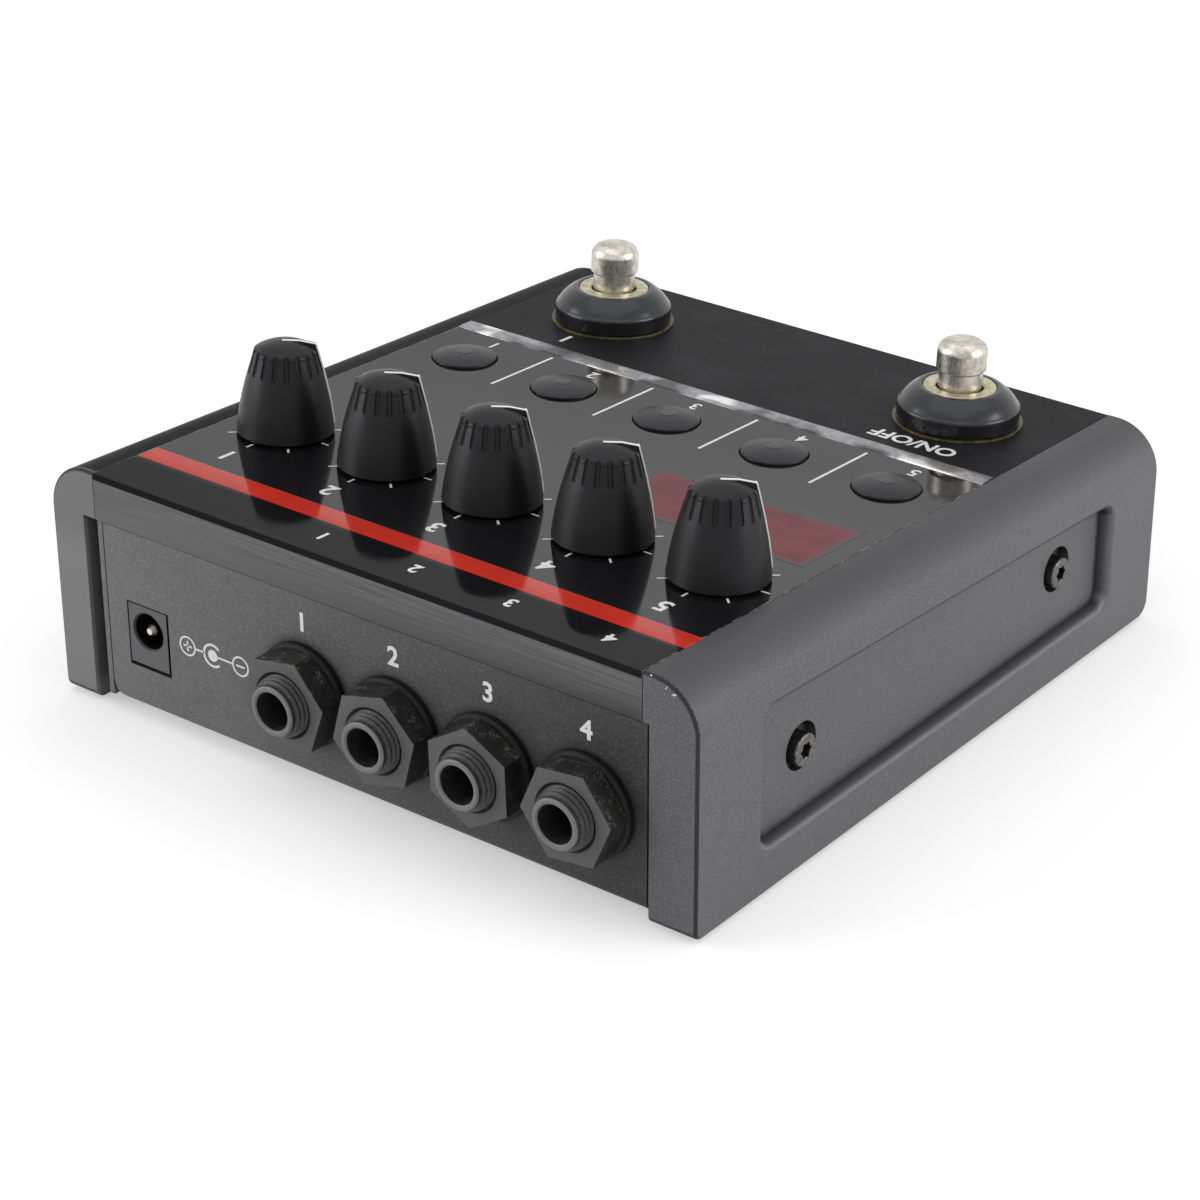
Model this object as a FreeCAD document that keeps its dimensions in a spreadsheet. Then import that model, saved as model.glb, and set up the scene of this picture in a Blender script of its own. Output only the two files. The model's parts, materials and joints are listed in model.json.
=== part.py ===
import FreeCAD, Part
import math
import os

import Sketcher

# Driving dimensions in millimetres, and angles in degrees
SIZES = {
    # Case
    "body_width": 132.0,
    "body_depth": 135.0,
    "rear_height": 42.75,
    "front_height": 35.6,
    "foot_lift": 0.5,
    "jack_reach": 8.0,
    # Side rails
    "rail_width": 10.0,
    "rail_round": 8.3,
    "left_rail_step": 1.2,
    "right_rail_step": 2.75,
    "rail_nose": 3.0,
    "rail_heel": 1.8,
    "rail_softening": 0.6,
    "recess_front": -52.0,
    "recess_rear": 50.3,
    "recess_bottom": 8.55,
    "recess_drop": 9.95,
    "recess_depth": 2.5,
    "recess_corner": 2.5,
    "recess_lip": 1.4,
    "screw_rear": 37.2,
    "screw_front": -38.4,
    "screw_level": 19.4,
    "counterbore_level": 19.9,
    "counterbore_radius": 4.05,
    "counterbore_depth": 2.0,
    "boss_radius": 4.5,
    "boss_face": 56.75,
    # Cover, overlay and divider
    "panel_half": 55.9,
    "skirt_drop": 8.35,
    "sheet_wall": 2.0,
    "flank_half": 56.7,
    "flank_wall": 1.8,
    "flank_flange": 4.0,
    "floor_half": 54.7,
    "rear_wall_seam": 54.3,
    "rear_wall_corner": 56.9,
    "wall_corner": 3.6,
    "cover_thick": 3.0,
    "overlay_thick": 1.2,
    "divider_front": -29.4,
    "divider_rear": -25.3,
    "divider_proud": 0.15,
    # Controls on the top panel
    "pitch": 22.4,
    "knob_line": 33.3,
    "button_line": -13.75,
    "footswitch_reach": 37.3,
    "footswitch_line": -47.45,
    "bushing_hole": 3.6,
    "button_hole": 5.95,
    "footswitch_hole": 6.6,
    "window_left": -52.1,
    "window_right": -13.0,
    "window_front": 3.9,
    "window_rear": 21.4,
    "window_ledge": 1.2,
    # Knobs
    "knob_gap": 0.4,
    "knob_skirt": 8.25,
    "knob_top": 16.3,
    "knob_cavity": 6.5,
    "shaft_radius": 3.0,
    "shaft_top": 11.6,
    "flute_radius": 0.45,
    "flute_count": 18,
    "pointer_width": 1.3,
    "pointer_rest": 225.0,
    # Buttons
    "button_radius": 5.75,
    "button_crown": 1.4,
    "button_flange": 6.9,
    "stem_radius": 1.75,
    # Footswitches
    "washer_radius": 11.25,
    "washer_thick": 0.4,
    "collar_radius": 10.6,
    "collar_wall": 3.3,
    "collar_top": 6.4,
    "collar_crest": 7.3,
    "sleeve_radius": 6.45,
    "sleeve_bore": 4.1,
    "plunger_radius": 3.78,
    "cap_radius": 4.33,
    "cap_under": 9.35,
    "cap_top": 14.8,
    "switch_side": 16.0,
    "switch_top": 5.2,
    "switch_bottom": 20.0,
    # Boards
    "board_thick": 1.6,
    "control_drop": 10.0,
    "main_level": 10.5,
    "floor_level": 2.5,
    # Jacks and power inlet
    "jack_first": 10.87,
    "jack_pitch": 18.84,
    "jack_level": 17.5,
    "jack_bore": 3.3,
    "jack_thread": 5.3,
    "jack_tip": 4.3,
    "nut_flats": 15.0,
    "nut_face": 5.3,
    "nut_flange": 8.9,
    "inlet_centre": 45.33,
    "inlet_width": 9.35,
    "inlet_low": 10.2,
    "inlet_high": 22.0,
    "inlet_gap": 0.25,
    "inlet_side_gap": 0.5,
    "inlet_low_gap": 0.65,
    "inlet_hole_across": 45.5,
    "inlet_hole_level": 17.3,
    "inlet_hole_radius": 3.15,
    "inlet_pin_radius": 1.0,
}

doc = FreeCAD.newDocument("DelayPedal")
sheet = doc.addObject("Spreadsheet::Sheet", "Sheet")
for row, (alias, number) in enumerate(SIZES.items(), start=1):
    sheet.set("A%d" % row, alias)
    sheet.set("B%d" % row, str(number))
    sheet.setAlias("B%d" % row, alias)
doc.recompute()

Vector = FreeCAD.Vector
Rotation = FreeCAD.Rotation
Placement = FreeCAD.Placement

ALONG_X = Vector(1, 0, 0)
ALONG_Z = Vector(0, 0, 1)


def value(text):
    """Number of a sum of products of sheet names, or the number given."""
    if not isinstance(text, str):
        return float(text)
    total = 0.0
    for term in text.replace(" - ", " + -").split(" + "):
        product = -1.0 if term.startswith("-") else 1.0
        for factor in term.lstrip("-").split(" * "):
            product *= SIZES[factor] if factor in SIZES else float(factor)
        total += product
    return total


def formula(text):
    """The same sum written for the sheet."""
    words = text.split(" ")
    return " ".join(
        ("-Sheet." + word[1:]) if word[0] == "-" and word[1:] in SIZES
        else ("Sheet." + word if word in SIZES else word)
        for word in words
    )


def bind(thing, path, text):
    """Bind one property to the sheet."""
    if isinstance(text, str):
        thing.setExpression(path, formula(text))


# Places worked out from the driving dimensions
HALF_WIDTH = value("body_width") / 2
HALF_DEPTH = value("body_depth") / 2
RAIL_INNER = HALF_WIDTH - value("rail_width")
REAR_TOP = value("rear_height + foot_lift")
FRONT_TOP = value("front_height + foot_lift")
TILT = math.degrees(math.atan2(REAR_TOP - FRONT_TOP, value("body_depth")))
PANEL_LEVEL = (REAR_TOP + FRONT_TOP) / 2
COLUMNS = [2, 1, 0, -1, -2]
JACKS = [0, 1, 2, 3]
NUT_TURNS = [49.5, 45.0, 28.0, 53.0]
STANDOFFS = [(46.0, -26.0), (-46.0, -26.0), (46.0, 36.0), (-46.0, 36.0)]
FEET = [(46.0, 56.0), (-46.0, 56.0), (46.0, -56.0), (-46.0, -56.0)]
RAIL_SCREWS = [("screw_rear", "screw_level"), ("screw_front", "screw_level")]
SHIFT = Placement(Vector(0, -value("jack_reach") / 2, 0), Rotation())
PANEL = Placement(Vector(0, 0, PANEL_LEVEL), Rotation(ALONG_X, TILT))
FACING_REAR = Rotation(ALONG_X, -90)


def top_at(y):
    """Height of the sloping top at a depth y."""
    return PANEL_LEVEL + y * math.tan(math.radians(TILT))


def in_panel(y, z):
    """Point of the side view given in the sloping panel's own frame."""
    local = PANEL.inverse().multVec(Vector(0, y, z))
    return (local.y, local.z)


def on_panel(x=0.0, y=0.0, turn=0.0):
    """Placement on the sloping panel."""
    return PANEL.multiply(Placement(Vector(value(x), value(y), 0), Rotation(ALONG_Z, turn)))


def new_body(label, placement=Placement()):
    body = doc.addObject("PartDesign::Body", label)
    body.Label = label
    body.AllowCompound = True
    body.Placement = SHIFT.multiply(placement)
    return body


def origin_part(body, role):
    return next(item for item in body.Origin.OriginFeatures if item.Role == role)


def new_sketch(body, plane="XY_Plane", offset=0.0, turn=0.0):
    sketch = body.newObject("Sketcher::SketchObject", body.Name + "_sketch")
    sketch.AttachmentSupport = [(origin_part(body, plane), "")]
    sketch.MapMode = "FlatFace"
    spin = Rotation(Vector(0, 1, 0), turn)
    sketch.AttachmentOffset = Placement(Vector(0, 0, value(offset)), spin)
    bind(sketch, "AttachmentOffset.Base.z", offset)
    return sketch


def pin_point(sketch, geometry, end, x, y):
    """Fix a point of the sketch at x, y from the origin."""
    for kind, text in (("DistanceX", x), ("DistanceY", y)):
        rule = Sketcher.Constraint(kind, -1, 1, geometry, end, value(text))
        index = sketch.addConstraint(rule)
        bind(sketch, "Constraints[%d]" % index, text)


def outline(sketch, points, arcs=None):
    """Closed outline. arcs gives the middle point of the arc that starts at a numbered point."""
    arcs = arcs or {}
    spots = [Vector(value(x), value(y), 0) for x, y in points]
    edges = []
    for number, start in enumerate(spots):
        stop = spots[(number + 1) % len(spots)]
        if number in arcs:
            middle = Vector(value(arcs[number][0]), value(arcs[number][1]), 0)
            index = sketch.addGeometry(Part.Arc(start, middle, stop))
            arc = sketch.Geometry[index]
            sketch.addConstraint(Sketcher.Constraint("Radius", index, arc.Radius))
            forward = (sketch.getPoint(index, 1) - start).Length < 1e-6
            edges.append((index, 1, 2) if forward else (index, 2, 1))
        else:
            index = sketch.addGeometry(Part.LineSegment(start, stop))
            edges.append((index, 1, 2))
    for number, (index, first, last) in enumerate(edges):
        after = edges[(number + 1) % len(edges)]
        sketch.addConstraint(Sketcher.Constraint("Coincident", index, last, after[0], after[1]))
    for number, (index, first, last) in enumerate(edges):
        pin_point(sketch, index, first, *points[number])


def box_outline(sketch, low_x, low_y, high_x, high_y):
    outline(sketch, [(low_x, low_y), (high_x, low_y), (high_x, high_y), (low_x, high_y)])


def circles(sketch, places, radius):
    for x, y in places:
        centre = Vector(value(x), value(y), 0)
        index = sketch.addGeometry(Part.Circle(centre, ALONG_Z, value(radius)))
        size = sketch.addConstraint(Sketcher.Constraint("Radius", index, value(radius)))
        bind(sketch, "Constraints[%d]" % size, radius)
        pin_point(sketch, index, 3, x, y)


def hexagon(sketch, x, y, flats, turn):
    """Hexagon by its width across flats, with a corner at the angle turn."""
    corner = value(flats) / math.sqrt(3)
    angles = [math.radians(turn + 60 * step) for step in range(6)]
    outline(sketch, [(value(x) + corner * math.cos(a), value(y) + corner * math.sin(a)) for a in angles])


def checked_cut(body, before):
    doc.recompute()
    if body.Shape.Volume > before - 1e-6:
        raise ValueError(body.Label + ": a cut removed nothing")


def pad(body, sketch, length, symmetric=False):
    feature = body.newObject("PartDesign::Pad", body.Name + "_pad")
    feature.Profile = sketch
    feature.SideType = "Symmetric" if symmetric else "One side"
    feature.Length = value(length)
    bind(feature, "Length", length)
    return feature


def pocket(body, sketch, length=None):
    """Cut evenly to both sides of the sketch, or through everything."""
    doc.recompute()
    before = body.Shape.Volume
    feature = body.newObject("PartDesign::Pocket", body.Name + "_pocket")
    feature.Profile = sketch
    feature.SideType = "Symmetric"
    if length is None:
        feature.Type = "ThroughAll"
    else:
        feature.Length = value(length)
        bind(feature, "Length", length)
    checked_cut(body, before)
    return feature


def revolve(body, sketch, axis="V_Axis"):
    feature = body.newObject("PartDesign::Revolution", body.Name + "_turned")
    feature.Profile = sketch
    feature.ReferenceAxis = (sketch, [axis])
    feature.Angle = 360
    return feature


def turn_away(body, sketch, axis="V_Axis"):
    doc.recompute()
    before = body.Shape.Volume
    feature = body.newObject("PartDesign::Groove", body.Name + "_groove")
    feature.Profile = sketch
    feature.ReferenceAxis = (sketch, [axis])
    feature.Angle = 360
    checked_cut(body, before)
    return feature


def soften(body, kind, size, wanted):
    """Fillet or chamfer the edges whose middle passes the test."""
    doc.recompute()
    base = body.Tip
    names = [
        "Edge%d" % number
        for number, edge in enumerate(base.Shape.Edges, start=1)
        if wanted(edge)
    ]
    if not names:
        raise ValueError(body.Label + ": no edge to soften")
    feature = body.newObject("PartDesign::" + kind, body.Name + "_" + kind.lower())
    feature.Base = (base, names)
    if kind == "Fillet":
        feature.Radius = value(size)
        bind(feature, "Radius", size)
    else:
        feature.Size = value(size)
        bind(feature, "Size", size)
    doc.recompute()
    return feature


def near(number, target, slack=0.02):
    return abs(number - target) < slack


def middle_of(edge):
    return edge.valueAt((edge.FirstParameter + edge.LastParameter) / 2)


def straight_along(edge, axis):
    if edge.Curve.TypeId != "Part::GeomLine":
        return False
    run = edge.Vertexes[-1].Point - edge.Vertexes[0].Point
    return abs(run.normalize().dot(axis)) > 0.99


# Case


def side_rail(label, side, step_depth):
    """Machined side rail: rounded top, long side recess, counterbored screw holes."""
    body = new_body(label)
    outer = side * HALF_WIDTH
    inner = side * RAIL_INNER
    sketch = new_sketch(body, "YZ_Plane", (outer + inner) / 2)
    outline(sketch, [
        (-HALF_DEPTH, "foot_lift"), (HALF_DEPTH, "foot_lift"),
        (HALF_DEPTH, "rear_height + foot_lift"), (-HALF_DEPTH, "front_height + foot_lift"),
    ])
    pad(body, sketch, "rail_width", symmetric=True)

    def bottom_edge(end):
        return lambda edge: (
            straight_along(edge, ALONG_X)
            and near(middle_of(edge).y, end * HALF_DEPTH)
            and near(middle_of(edge).z, value("foot_lift"))
        )

    soften(body, "Fillet", "rail_nose", bottom_edge(-1))
    soften(body, "Fillet", "rail_heel", bottom_edge(1))
    soften(body, "Fillet", "rail_round", lambda edge: (
        near(middle_of(edge).x, outer) and middle_of(edge).z > FRONT_TOP
    ))
    soften(body, "Fillet", "rail_softening", lambda edge: (
        near(middle_of(edge).x, outer)
        and near(abs(middle_of(edge).y), HALF_DEPTH)
        and edge.Length > 10
    ))

    step = new_sketch(body, "YZ_Plane", inner)
    outline(step, [
        (-HALF_DEPTH - 1, -1), (HALF_DEPTH + 1, -1),
        (HALF_DEPTH + 1, top_at(HALF_DEPTH + 1) - value("skirt_drop")),
        (-HALF_DEPTH - 1, top_at(-HALF_DEPTH - 1) - value("skirt_drop")),
    ])
    pocket(body, step, "2 * " + step_depth)

    recess = new_sketch(body, "YZ_Plane", outer)
    rear_top = top_at(value("recess_rear")) - value("recess_drop")
    front_top = top_at(value("recess_front")) - value("recess_drop")
    outline(recess, [
        ("recess_front", "recess_bottom"), ("recess_rear", "recess_bottom"),
        ("recess_rear", rear_top), ("recess_front", front_top),
    ])
    pocket(body, recess, "2 * recess_depth")
    floor = outer - side * value("recess_depth")
    soften(body, "Fillet", "recess_corner", lambda edge: (
        straight_along(edge, ALONG_X)
        and near(edge.Length, value("recess_depth"))
        and near(abs(middle_of(edge).x), HALF_WIDTH - value("recess_depth") / 2)
    ))

    def recess_mouth(edge):
        spot = middle_of(edge)
        return (
            near(spot.x, outer)
            and value("recess_front - 0.1") < spot.y < value("recess_rear + 0.1")
            and value("recess_bottom - 0.1") < spot.z < top_at(spot.y) - value("recess_drop - 0.1")
        )

    soften(body, "Fillet", "recess_lip", recess_mouth)

    boss_root = RAIL_INNER + value(step_depth) + 0.3
    boss_middle = (boss_root + value("boss_face")) / 2
    bosses = new_sketch(body, "YZ_Plane", side * boss_middle)
    circles(bosses, RAIL_SCREWS, "boss_radius")
    pad(body, bosses, boss_root - value("boss_face"), symmetric=True)
    bores = new_sketch(body, "YZ_Plane", floor)
    circles(bores, [(y, "counterbore_level") for y, level in RAIL_SCREWS], "counterbore_radius")
    pocket(body, bores, "2 * counterbore_depth")
    holes = new_sketch(body, "YZ_Plane", side * (RAIL_INNER + 3))
    circles(holes, RAIL_SCREWS, 1.7)
    pocket(body, holes, 14.0)


def top_cover():
    """Folded cover: sloping top with a step for the overlay, a rear strip and a front skirt."""
    body = new_body("top_cover", PANEL)
    wall = value("sheet_wall")
    front_skirt = FRONT_TOP - value("skirt_drop")
    rear_skirt = REAR_TOP - value("skirt_drop")
    under = -value("cover_thick")
    deep = -value("overlay_thick")
    rear_deep = in_panel(HALF_DEPTH, REAR_TOP)[0] + deep * math.tan(math.radians(TILT))
    profile = new_sketch(body, "YZ_Plane")
    outline(profile, [
        in_panel(-HALF_DEPTH, FRONT_TOP),
        in_panel(-HALF_DEPTH, front_skirt),
        in_panel(wall - HALF_DEPTH, front_skirt),
        (in_panel(wall - HALF_DEPTH, FRONT_TOP - 3)[0], under),
        (in_panel(HALF_DEPTH - wall, REAR_TOP - 3)[0], under),
        in_panel(HALF_DEPTH - wall, rear_skirt),
        in_panel(HALF_DEPTH, rear_skirt),
        (rear_deep, deep),
        ("divider_front", deep),
        ("divider_front", 0.0),
    ])
    pad(body, profile, "2 * panel_half", symmetric=True)
    soften(body, "Fillet", 0.8, lambda edge: (
        straight_along(edge, ALONG_X)
        and near(middle_of(edge).y, in_panel(-HALF_DEPTH, FRONT_TOP)[0])
        and near(middle_of(edge).z, 0)
    ))
    holes = new_sketch(body, "XY_Plane")
    circles(holes, [("%d * pitch" % column, "knob_line") for column in COLUMNS], "bushing_hole")
    circles(holes, [("%d * pitch" % column, "button_line") for column in COLUMNS], "button_hole")
    circles(holes, [
        ("footswitch_reach", "footswitch_line"), ("-1 * footswitch_reach", "footswitch_line"),
    ], "footswitch_hole")
    box_outline(
        holes, "window_left + window_ledge", "window_front + window_ledge",
        "window_right - window_ledge", "window_rear - window_ledge",
    )
    pocket(body, holes, "4 * cover_thick")


def chassis():
    """Folded tray: floor and front wall."""
    body = new_body("chassis")
    wall = value("sheet_wall")
    low = value("floor_level")
    floor = new_sketch(body, "XY_Plane", "floor_level")
    box_outline(floor, "-1 * floor_half", -HALF_DEPTH, "floor_half", HALF_DEPTH - wall - 0.1)
    pad(body, floor, "sheet_wall")
    front = new_sketch(body, "XZ_Plane", HALF_DEPTH - wall / 2)
    front_edge = FRONT_TOP - value("skirt_drop") - 0.1
    box_outline(front, "-1 * rear_wall_seam", "floor_level", "rear_wall_seam", front_edge)
    pad(body, front, "sheet_wall", symmetric=True)
    soften(body, "Fillet", 1.8, lambda edge: (
        straight_along(edge, ALONG_X)
        and near(middle_of(edge).y, -HALF_DEPTH)
        and near(middle_of(edge).z, low)
    ))
    floor_holes = new_sketch(body, "XY_Plane")
    circles(floor_holes, STANDOFFS, 1.45)
    pocket(body, floor_holes, 12.0)


def rear_panel():
    """Rear plate with the sockets' openings and a flange that lies on the floor.

    It laps over the -X side wall and meets the +X side wall in an open seam."""
    body = new_body("rear_panel")
    wall = value("sheet_wall")
    low = value("floor_level")
    plate = new_sketch(body, "XZ_Plane", -HALF_DEPTH + wall / 2)
    rear_edge = REAR_TOP - value("skirt_drop") - 0.1
    box_outline(plate, "-1 * rear_wall_corner", "floor_level", "rear_wall_seam", rear_edge)
    pad(body, plate, "sheet_wall", symmetric=True)
    flange = new_sketch(body, "XY_Plane", "floor_level + sheet_wall + 0.02")
    box_outline(flange, -50.0, HALF_DEPTH - wall - 8.0, 50.0, HALF_DEPTH - wall + 0.3)
    pad(body, flange, 1.2)
    soften(body, "Fillet", 1.8, lambda edge: (
        straight_along(edge, ALONG_X)
        and near(middle_of(edge).y, HALF_DEPTH)
        and near(middle_of(edge).z, low)
    ))
    sockets = new_sketch(body, "XZ_Plane", -HALF_DEPTH)
    circles(sockets, [
        ("jack_first - %d * jack_pitch" % number, "jack_level") for number in JACKS
    ], "jack_thread + 0.15")
    box_outline(
        sockets, "inlet_centre - 0.5 * inlet_width", "inlet_low",
        "inlet_centre + 0.5 * inlet_width", "inlet_high",
    )
    pocket(body, sockets, "4 * sheet_wall")
    seam = value("rear_wall_seam")
    bend = value("wall_corner")
    notch = new_sketch(body, "XZ_Plane", -HALF_DEPTH)
    outline(notch, [
        (seam, low + bend), (seam + 0.6, low + bend), (seam + 0.6, low - 1),
        (seam - bend, low - 1), (seam - bend, low),
    ], arcs={4: (seam - 0.293 * bend, low + 0.293 * bend)})
    pocket(body, notch, "2 * sheet_wall + 1.0")


def side_walls():
    """Two upright plates inside the rails, each with a flange that lies on the floor."""
    body = new_body("side_walls")
    outside = value("flank_half")
    inside = value("flank_half - flank_wall")
    low = value("floor_level")
    front = 0.4 - HALF_DEPTH
    drop = value("skirt_drop") + 0.15
    for side, rear in ((-1, HALF_DEPTH - value("sheet_wall") - 0.1), (1, HALF_DEPTH - 0.4)):
        plate = new_sketch(body, "YZ_Plane", side * (outside + inside) / 2)
        outline(plate, [
            (front, low), (rear, low), (rear, top_at(rear) - drop), (front, top_at(front) - drop),
        ])
        pad(body, plate, "flank_wall", symmetric=True)
        flange = new_sketch(body, "XY_Plane", "floor_level + sheet_wall + 0.02")
        root = side * (inside + 0.3)
        tip = side * (inside - value("flank_flange"))
        box_outline(flange, min(root, tip), -64.0, max(root, tip), 64.0)
        pad(body, flange, 1.2)
    soften(body, "Fillet", 1.2, lambda edge: (
        straight_along(edge, ALONG_Z)
        and near(middle_of(edge).x, outside)
        and near(middle_of(edge).y, HALF_DEPTH - 0.4)
    ))
    holes = new_sketch(body, "YZ_Plane")
    circles(holes, RAIL_SCREWS, 1.6)
    pocket(body, holes)


def rail_screws():
    """Cap screws with a star socket that hold the rails to the side walls."""
    body = new_body("rail_screws")
    face = HALF_WIDTH - 1.5
    seat = HALF_WIDTH - value("recess_depth + counterbore_depth")
    for side in (-1, 1):
        heads = new_sketch(body, "YZ_Plane", side * (face + seat) / 2)
        circles(heads, RAIL_SCREWS, 2.75)
        pad(body, heads, face - seat, symmetric=True)
        tip = 52.2
        shanks = new_sketch(body, "YZ_Plane", side * (seat + tip) / 2)
        circles(shanks, RAIL_SCREWS, 1.45)
        pad(body, shanks, seat - tip + 0.1, symmetric=True)
    soften(body, "Fillet", 0.35, lambda edge: (
        near(abs(middle_of(edge).x), face) and near(edge.Length, 2 * math.pi * 2.75, 0.1)
    ))
    for side in (-1, 1):
        stars = new_sketch(body, "YZ_Plane", side * face)
        for across, up in RAIL_SCREWS:
            points = []
            for corner in range(12):
                radius = 1.55 if corner % 2 == 0 else 1.1
                angle = math.radians(30 * corner)
                points.append((
                    value(across) + radius * math.cos(angle), value(up) + radius * math.sin(angle),
                ))
            outline(stars, points)
        pocket(body, stars, 4.8)


def clinch_nuts():
    """Round press-in nuts inside the side walls."""
    body = new_body("clinch_nuts")
    inside = value("flank_half - flank_wall")
    for side in (-1, 1):
        sketch = new_sketch(body, "YZ_Plane", side * (inside - 1.25))
        for place in RAIL_SCREWS:
            circles(sketch, [place], 3.0)
            circles(sketch, [place], 1.5)
        pad(body, sketch, 2.5, symmetric=True)


def rubber_feet():
    body = new_body("rubber_feet")
    sketch = new_sketch(body)
    circles(sketch, FEET, 6.0)
    pad(body, sketch, "floor_level")
    soften(body, "Fillet", 0.5, lambda edge: near(middle_of(edge).z, 0))


# Top panel


def overlay_panel():
    """Glossy plate with holes for the knob bushings and buttons and an opening for the window."""
    body = new_body("overlay_panel", PANEL)
    rear_deep = in_panel(HALF_DEPTH, REAR_TOP)[0]
    slope = value("overlay_thick") * math.tan(math.radians(TILT))
    profile = new_sketch(body, "YZ_Plane")
    outline(profile, [
        ("divider_rear", "-1 * overlay_thick"), (rear_deep - slope, "-1 * overlay_thick"),
        (rear_deep, 0.0), ("divider_rear", 0.0),
    ])
    pad(body, profile, "2 * panel_half", symmetric=True)
    holes = new_sketch(body, "XY_Plane")
    circles(holes, [("%d * pitch" % column, "knob_line") for column in COLUMNS], "bushing_hole")
    circles(holes, [("%d * pitch" % column, "button_line") for column in COLUMNS], "button_hole")
    box_outline(holes, "window_left", "window_front", "window_right", "window_rear")
    pocket(body, holes, "4 * overlay_thick")


def divider_strip():
    """Bright bar between the overlay and the footswitch zone."""
    body = new_body("divider_strip", PANEL)
    sketch = new_sketch(body, "XY_Plane", "-1 * overlay_thick")
    box_outline(
        sketch, "-1 * panel_half", "divider_front + 0.03", "panel_half", "divider_rear - 0.03"
    )
    pad(body, sketch, "overlay_thick + divider_proud")
    soften(body, "Fillet", 0.45, lambda edge: (
        straight_along(edge, ALONG_X) and near(middle_of(edge).z, value("divider_proud"))
    ))


def display_window():
    body = new_body("display_window", PANEL)
    sketch = new_sketch(body, "XY_Plane", "-1 * overlay_thick")
    box_outline(
        sketch, "window_left + 0.08", "window_front + 0.08", "window_right - 0.08",
        "window_rear - 0.08",
    )
    pad(body, sketch, "overlay_thick - 0.05")


def display_module():
    """Display body on the control board, with three sunk digit fields."""
    body = new_body("display_module", PANEL)
    sketch = new_sketch(body, "XY_Plane", "-1 * control_drop")
    box_outline(
        sketch, "window_left + 1.8", "window_front + 1.8", "window_right - 1.8",
        "window_rear - 1.8",
    )
    pad(body, sketch, "control_drop - 2.0")
    digits = new_sketch(body, "XY_Plane", -2.0)
    for number in range(3):
        left = value("window_left") + 4.5 + 10.6 * number
        box_outline(digits, left, "window_front + 3.5", left + 8.6, "window_rear - 3.5")
    pocket(body, digits, 0.8)


# Knobs and potentiometers


def knob(number, column):
    """Tapered knob with a domed top, scalloped shoulder, raised pointer rib and open base."""
    turn = value("pointer_rest")
    body = new_body("knob_%d" % number, on_panel("%d * pitch" % column, "knob_line", turn))
    waist = Vector(6.5, 10.1, 0)
    shoulder = Vector(5.35, 14.1, 0)
    profile = new_sketch(body, "XZ_Plane")
    outline(profile, [
        ("knob_cavity", "knob_gap"),
        ("knob_skirt - 0.15", "knob_gap"),
        ("knob_skirt", "knob_gap + 0.2"),
        (waist.x, waist.y),
        (shoulder.x, shoulder.y),
        (4.8, 15.0),
        (0.0, "knob_top"),
        (0.0, "shaft_top + 0.1"),
        ("shaft_radius + 0.02", "shaft_top + 0.1"),
        ("shaft_radius + 0.02", 4.2),
        ("knob_cavity", 4.2),
    ], arcs={2: (7.4, 6.3), 4: (5.22, 14.65), 5: (2.5, 15.95)})
    revolve(body, profile)

    flute = new_sketch(body, "XZ_Plane", turn=180 / value("flute_count"))
    size = value("flute_radius")
    run = (shoulder - waist).normalize()
    out = Vector(run.y, -run.x, 0)
    low = waist + run * 1.3 + out * 0.05
    high = low + run * 6.0
    axis = sketch_axis(flute, low, high)
    tip = low - run * size
    side = low + out * size
    round_middle = low + (out - run).normalize() * size
    outline(flute, [
        (tip.x, tip.y), (side.x, side.y),
        (high.x + out.x * size, high.y + out.y * size), (high.x, high.y),
    ], arcs={0: (round_middle.x, round_middle.y)})
    groove = turn_away(body, flute, axis)
    pattern = body.newObject("PartDesign::PolarPattern", body.Name + "_flutes")
    pattern.Originals = [groove]
    pattern.Axis = (origin_part(body, "Z_Axis"), [""])
    pattern.Angle = 360
    pattern.Occurrences = int(value("flute_count"))
    body.Tip = pattern
    doc.recompute()

    rib = new_sketch(body, "XZ_Plane")
    outline(rib, [
        (-0.45, "knob_top + 0.03"), (2.4, "knob_top - 0.1"), (5.3, 15.55),
        (shoulder.x + 0.35, shoulder.y), (waist.x + 0.25, waist.y), (7.6, 6.3), (8.3, 1.8),
        (8.0, 1.2), (7.2, 1.2), (5.0, 13.0), (4.0, 14.5), (-0.45, 15.5),
    ])
    pad(body, rib, "pointer_width", symmetric=True)


def sketch_axis(sketch, low, high):
    """Construction line that a groove turns about."""
    index = sketch.addGeometry(Part.LineSegment(low, high), True)
    pin_point(sketch, index, 1, low.x, low.y)
    pin_point(sketch, index, 2, high.x, high.y)
    return "Axis0"


def potentiometer(number, column):
    """Round can with a threaded bushing through the panel."""
    body = new_body("pot_%d" % number, on_panel("%d * pitch" % column, "knob_line"))
    profile = new_sketch(body, "XZ_Plane")
    bore = "shaft_radius + 0.06"
    outline(profile, [
        (bore, 3.4), (3.5, 3.4), (3.5, "-1 * cover_thick - 0.03"),
        (8.2, "-1 * cover_thick - 0.03"), (8.2, "0.03 - control_drop"),
        (0.0, "0.03 - control_drop"), (0.0, -9.2), (7.6, -9.2), (7.6, -3.9), (bore, -3.9),
    ])
    revolve(body, profile)


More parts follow.
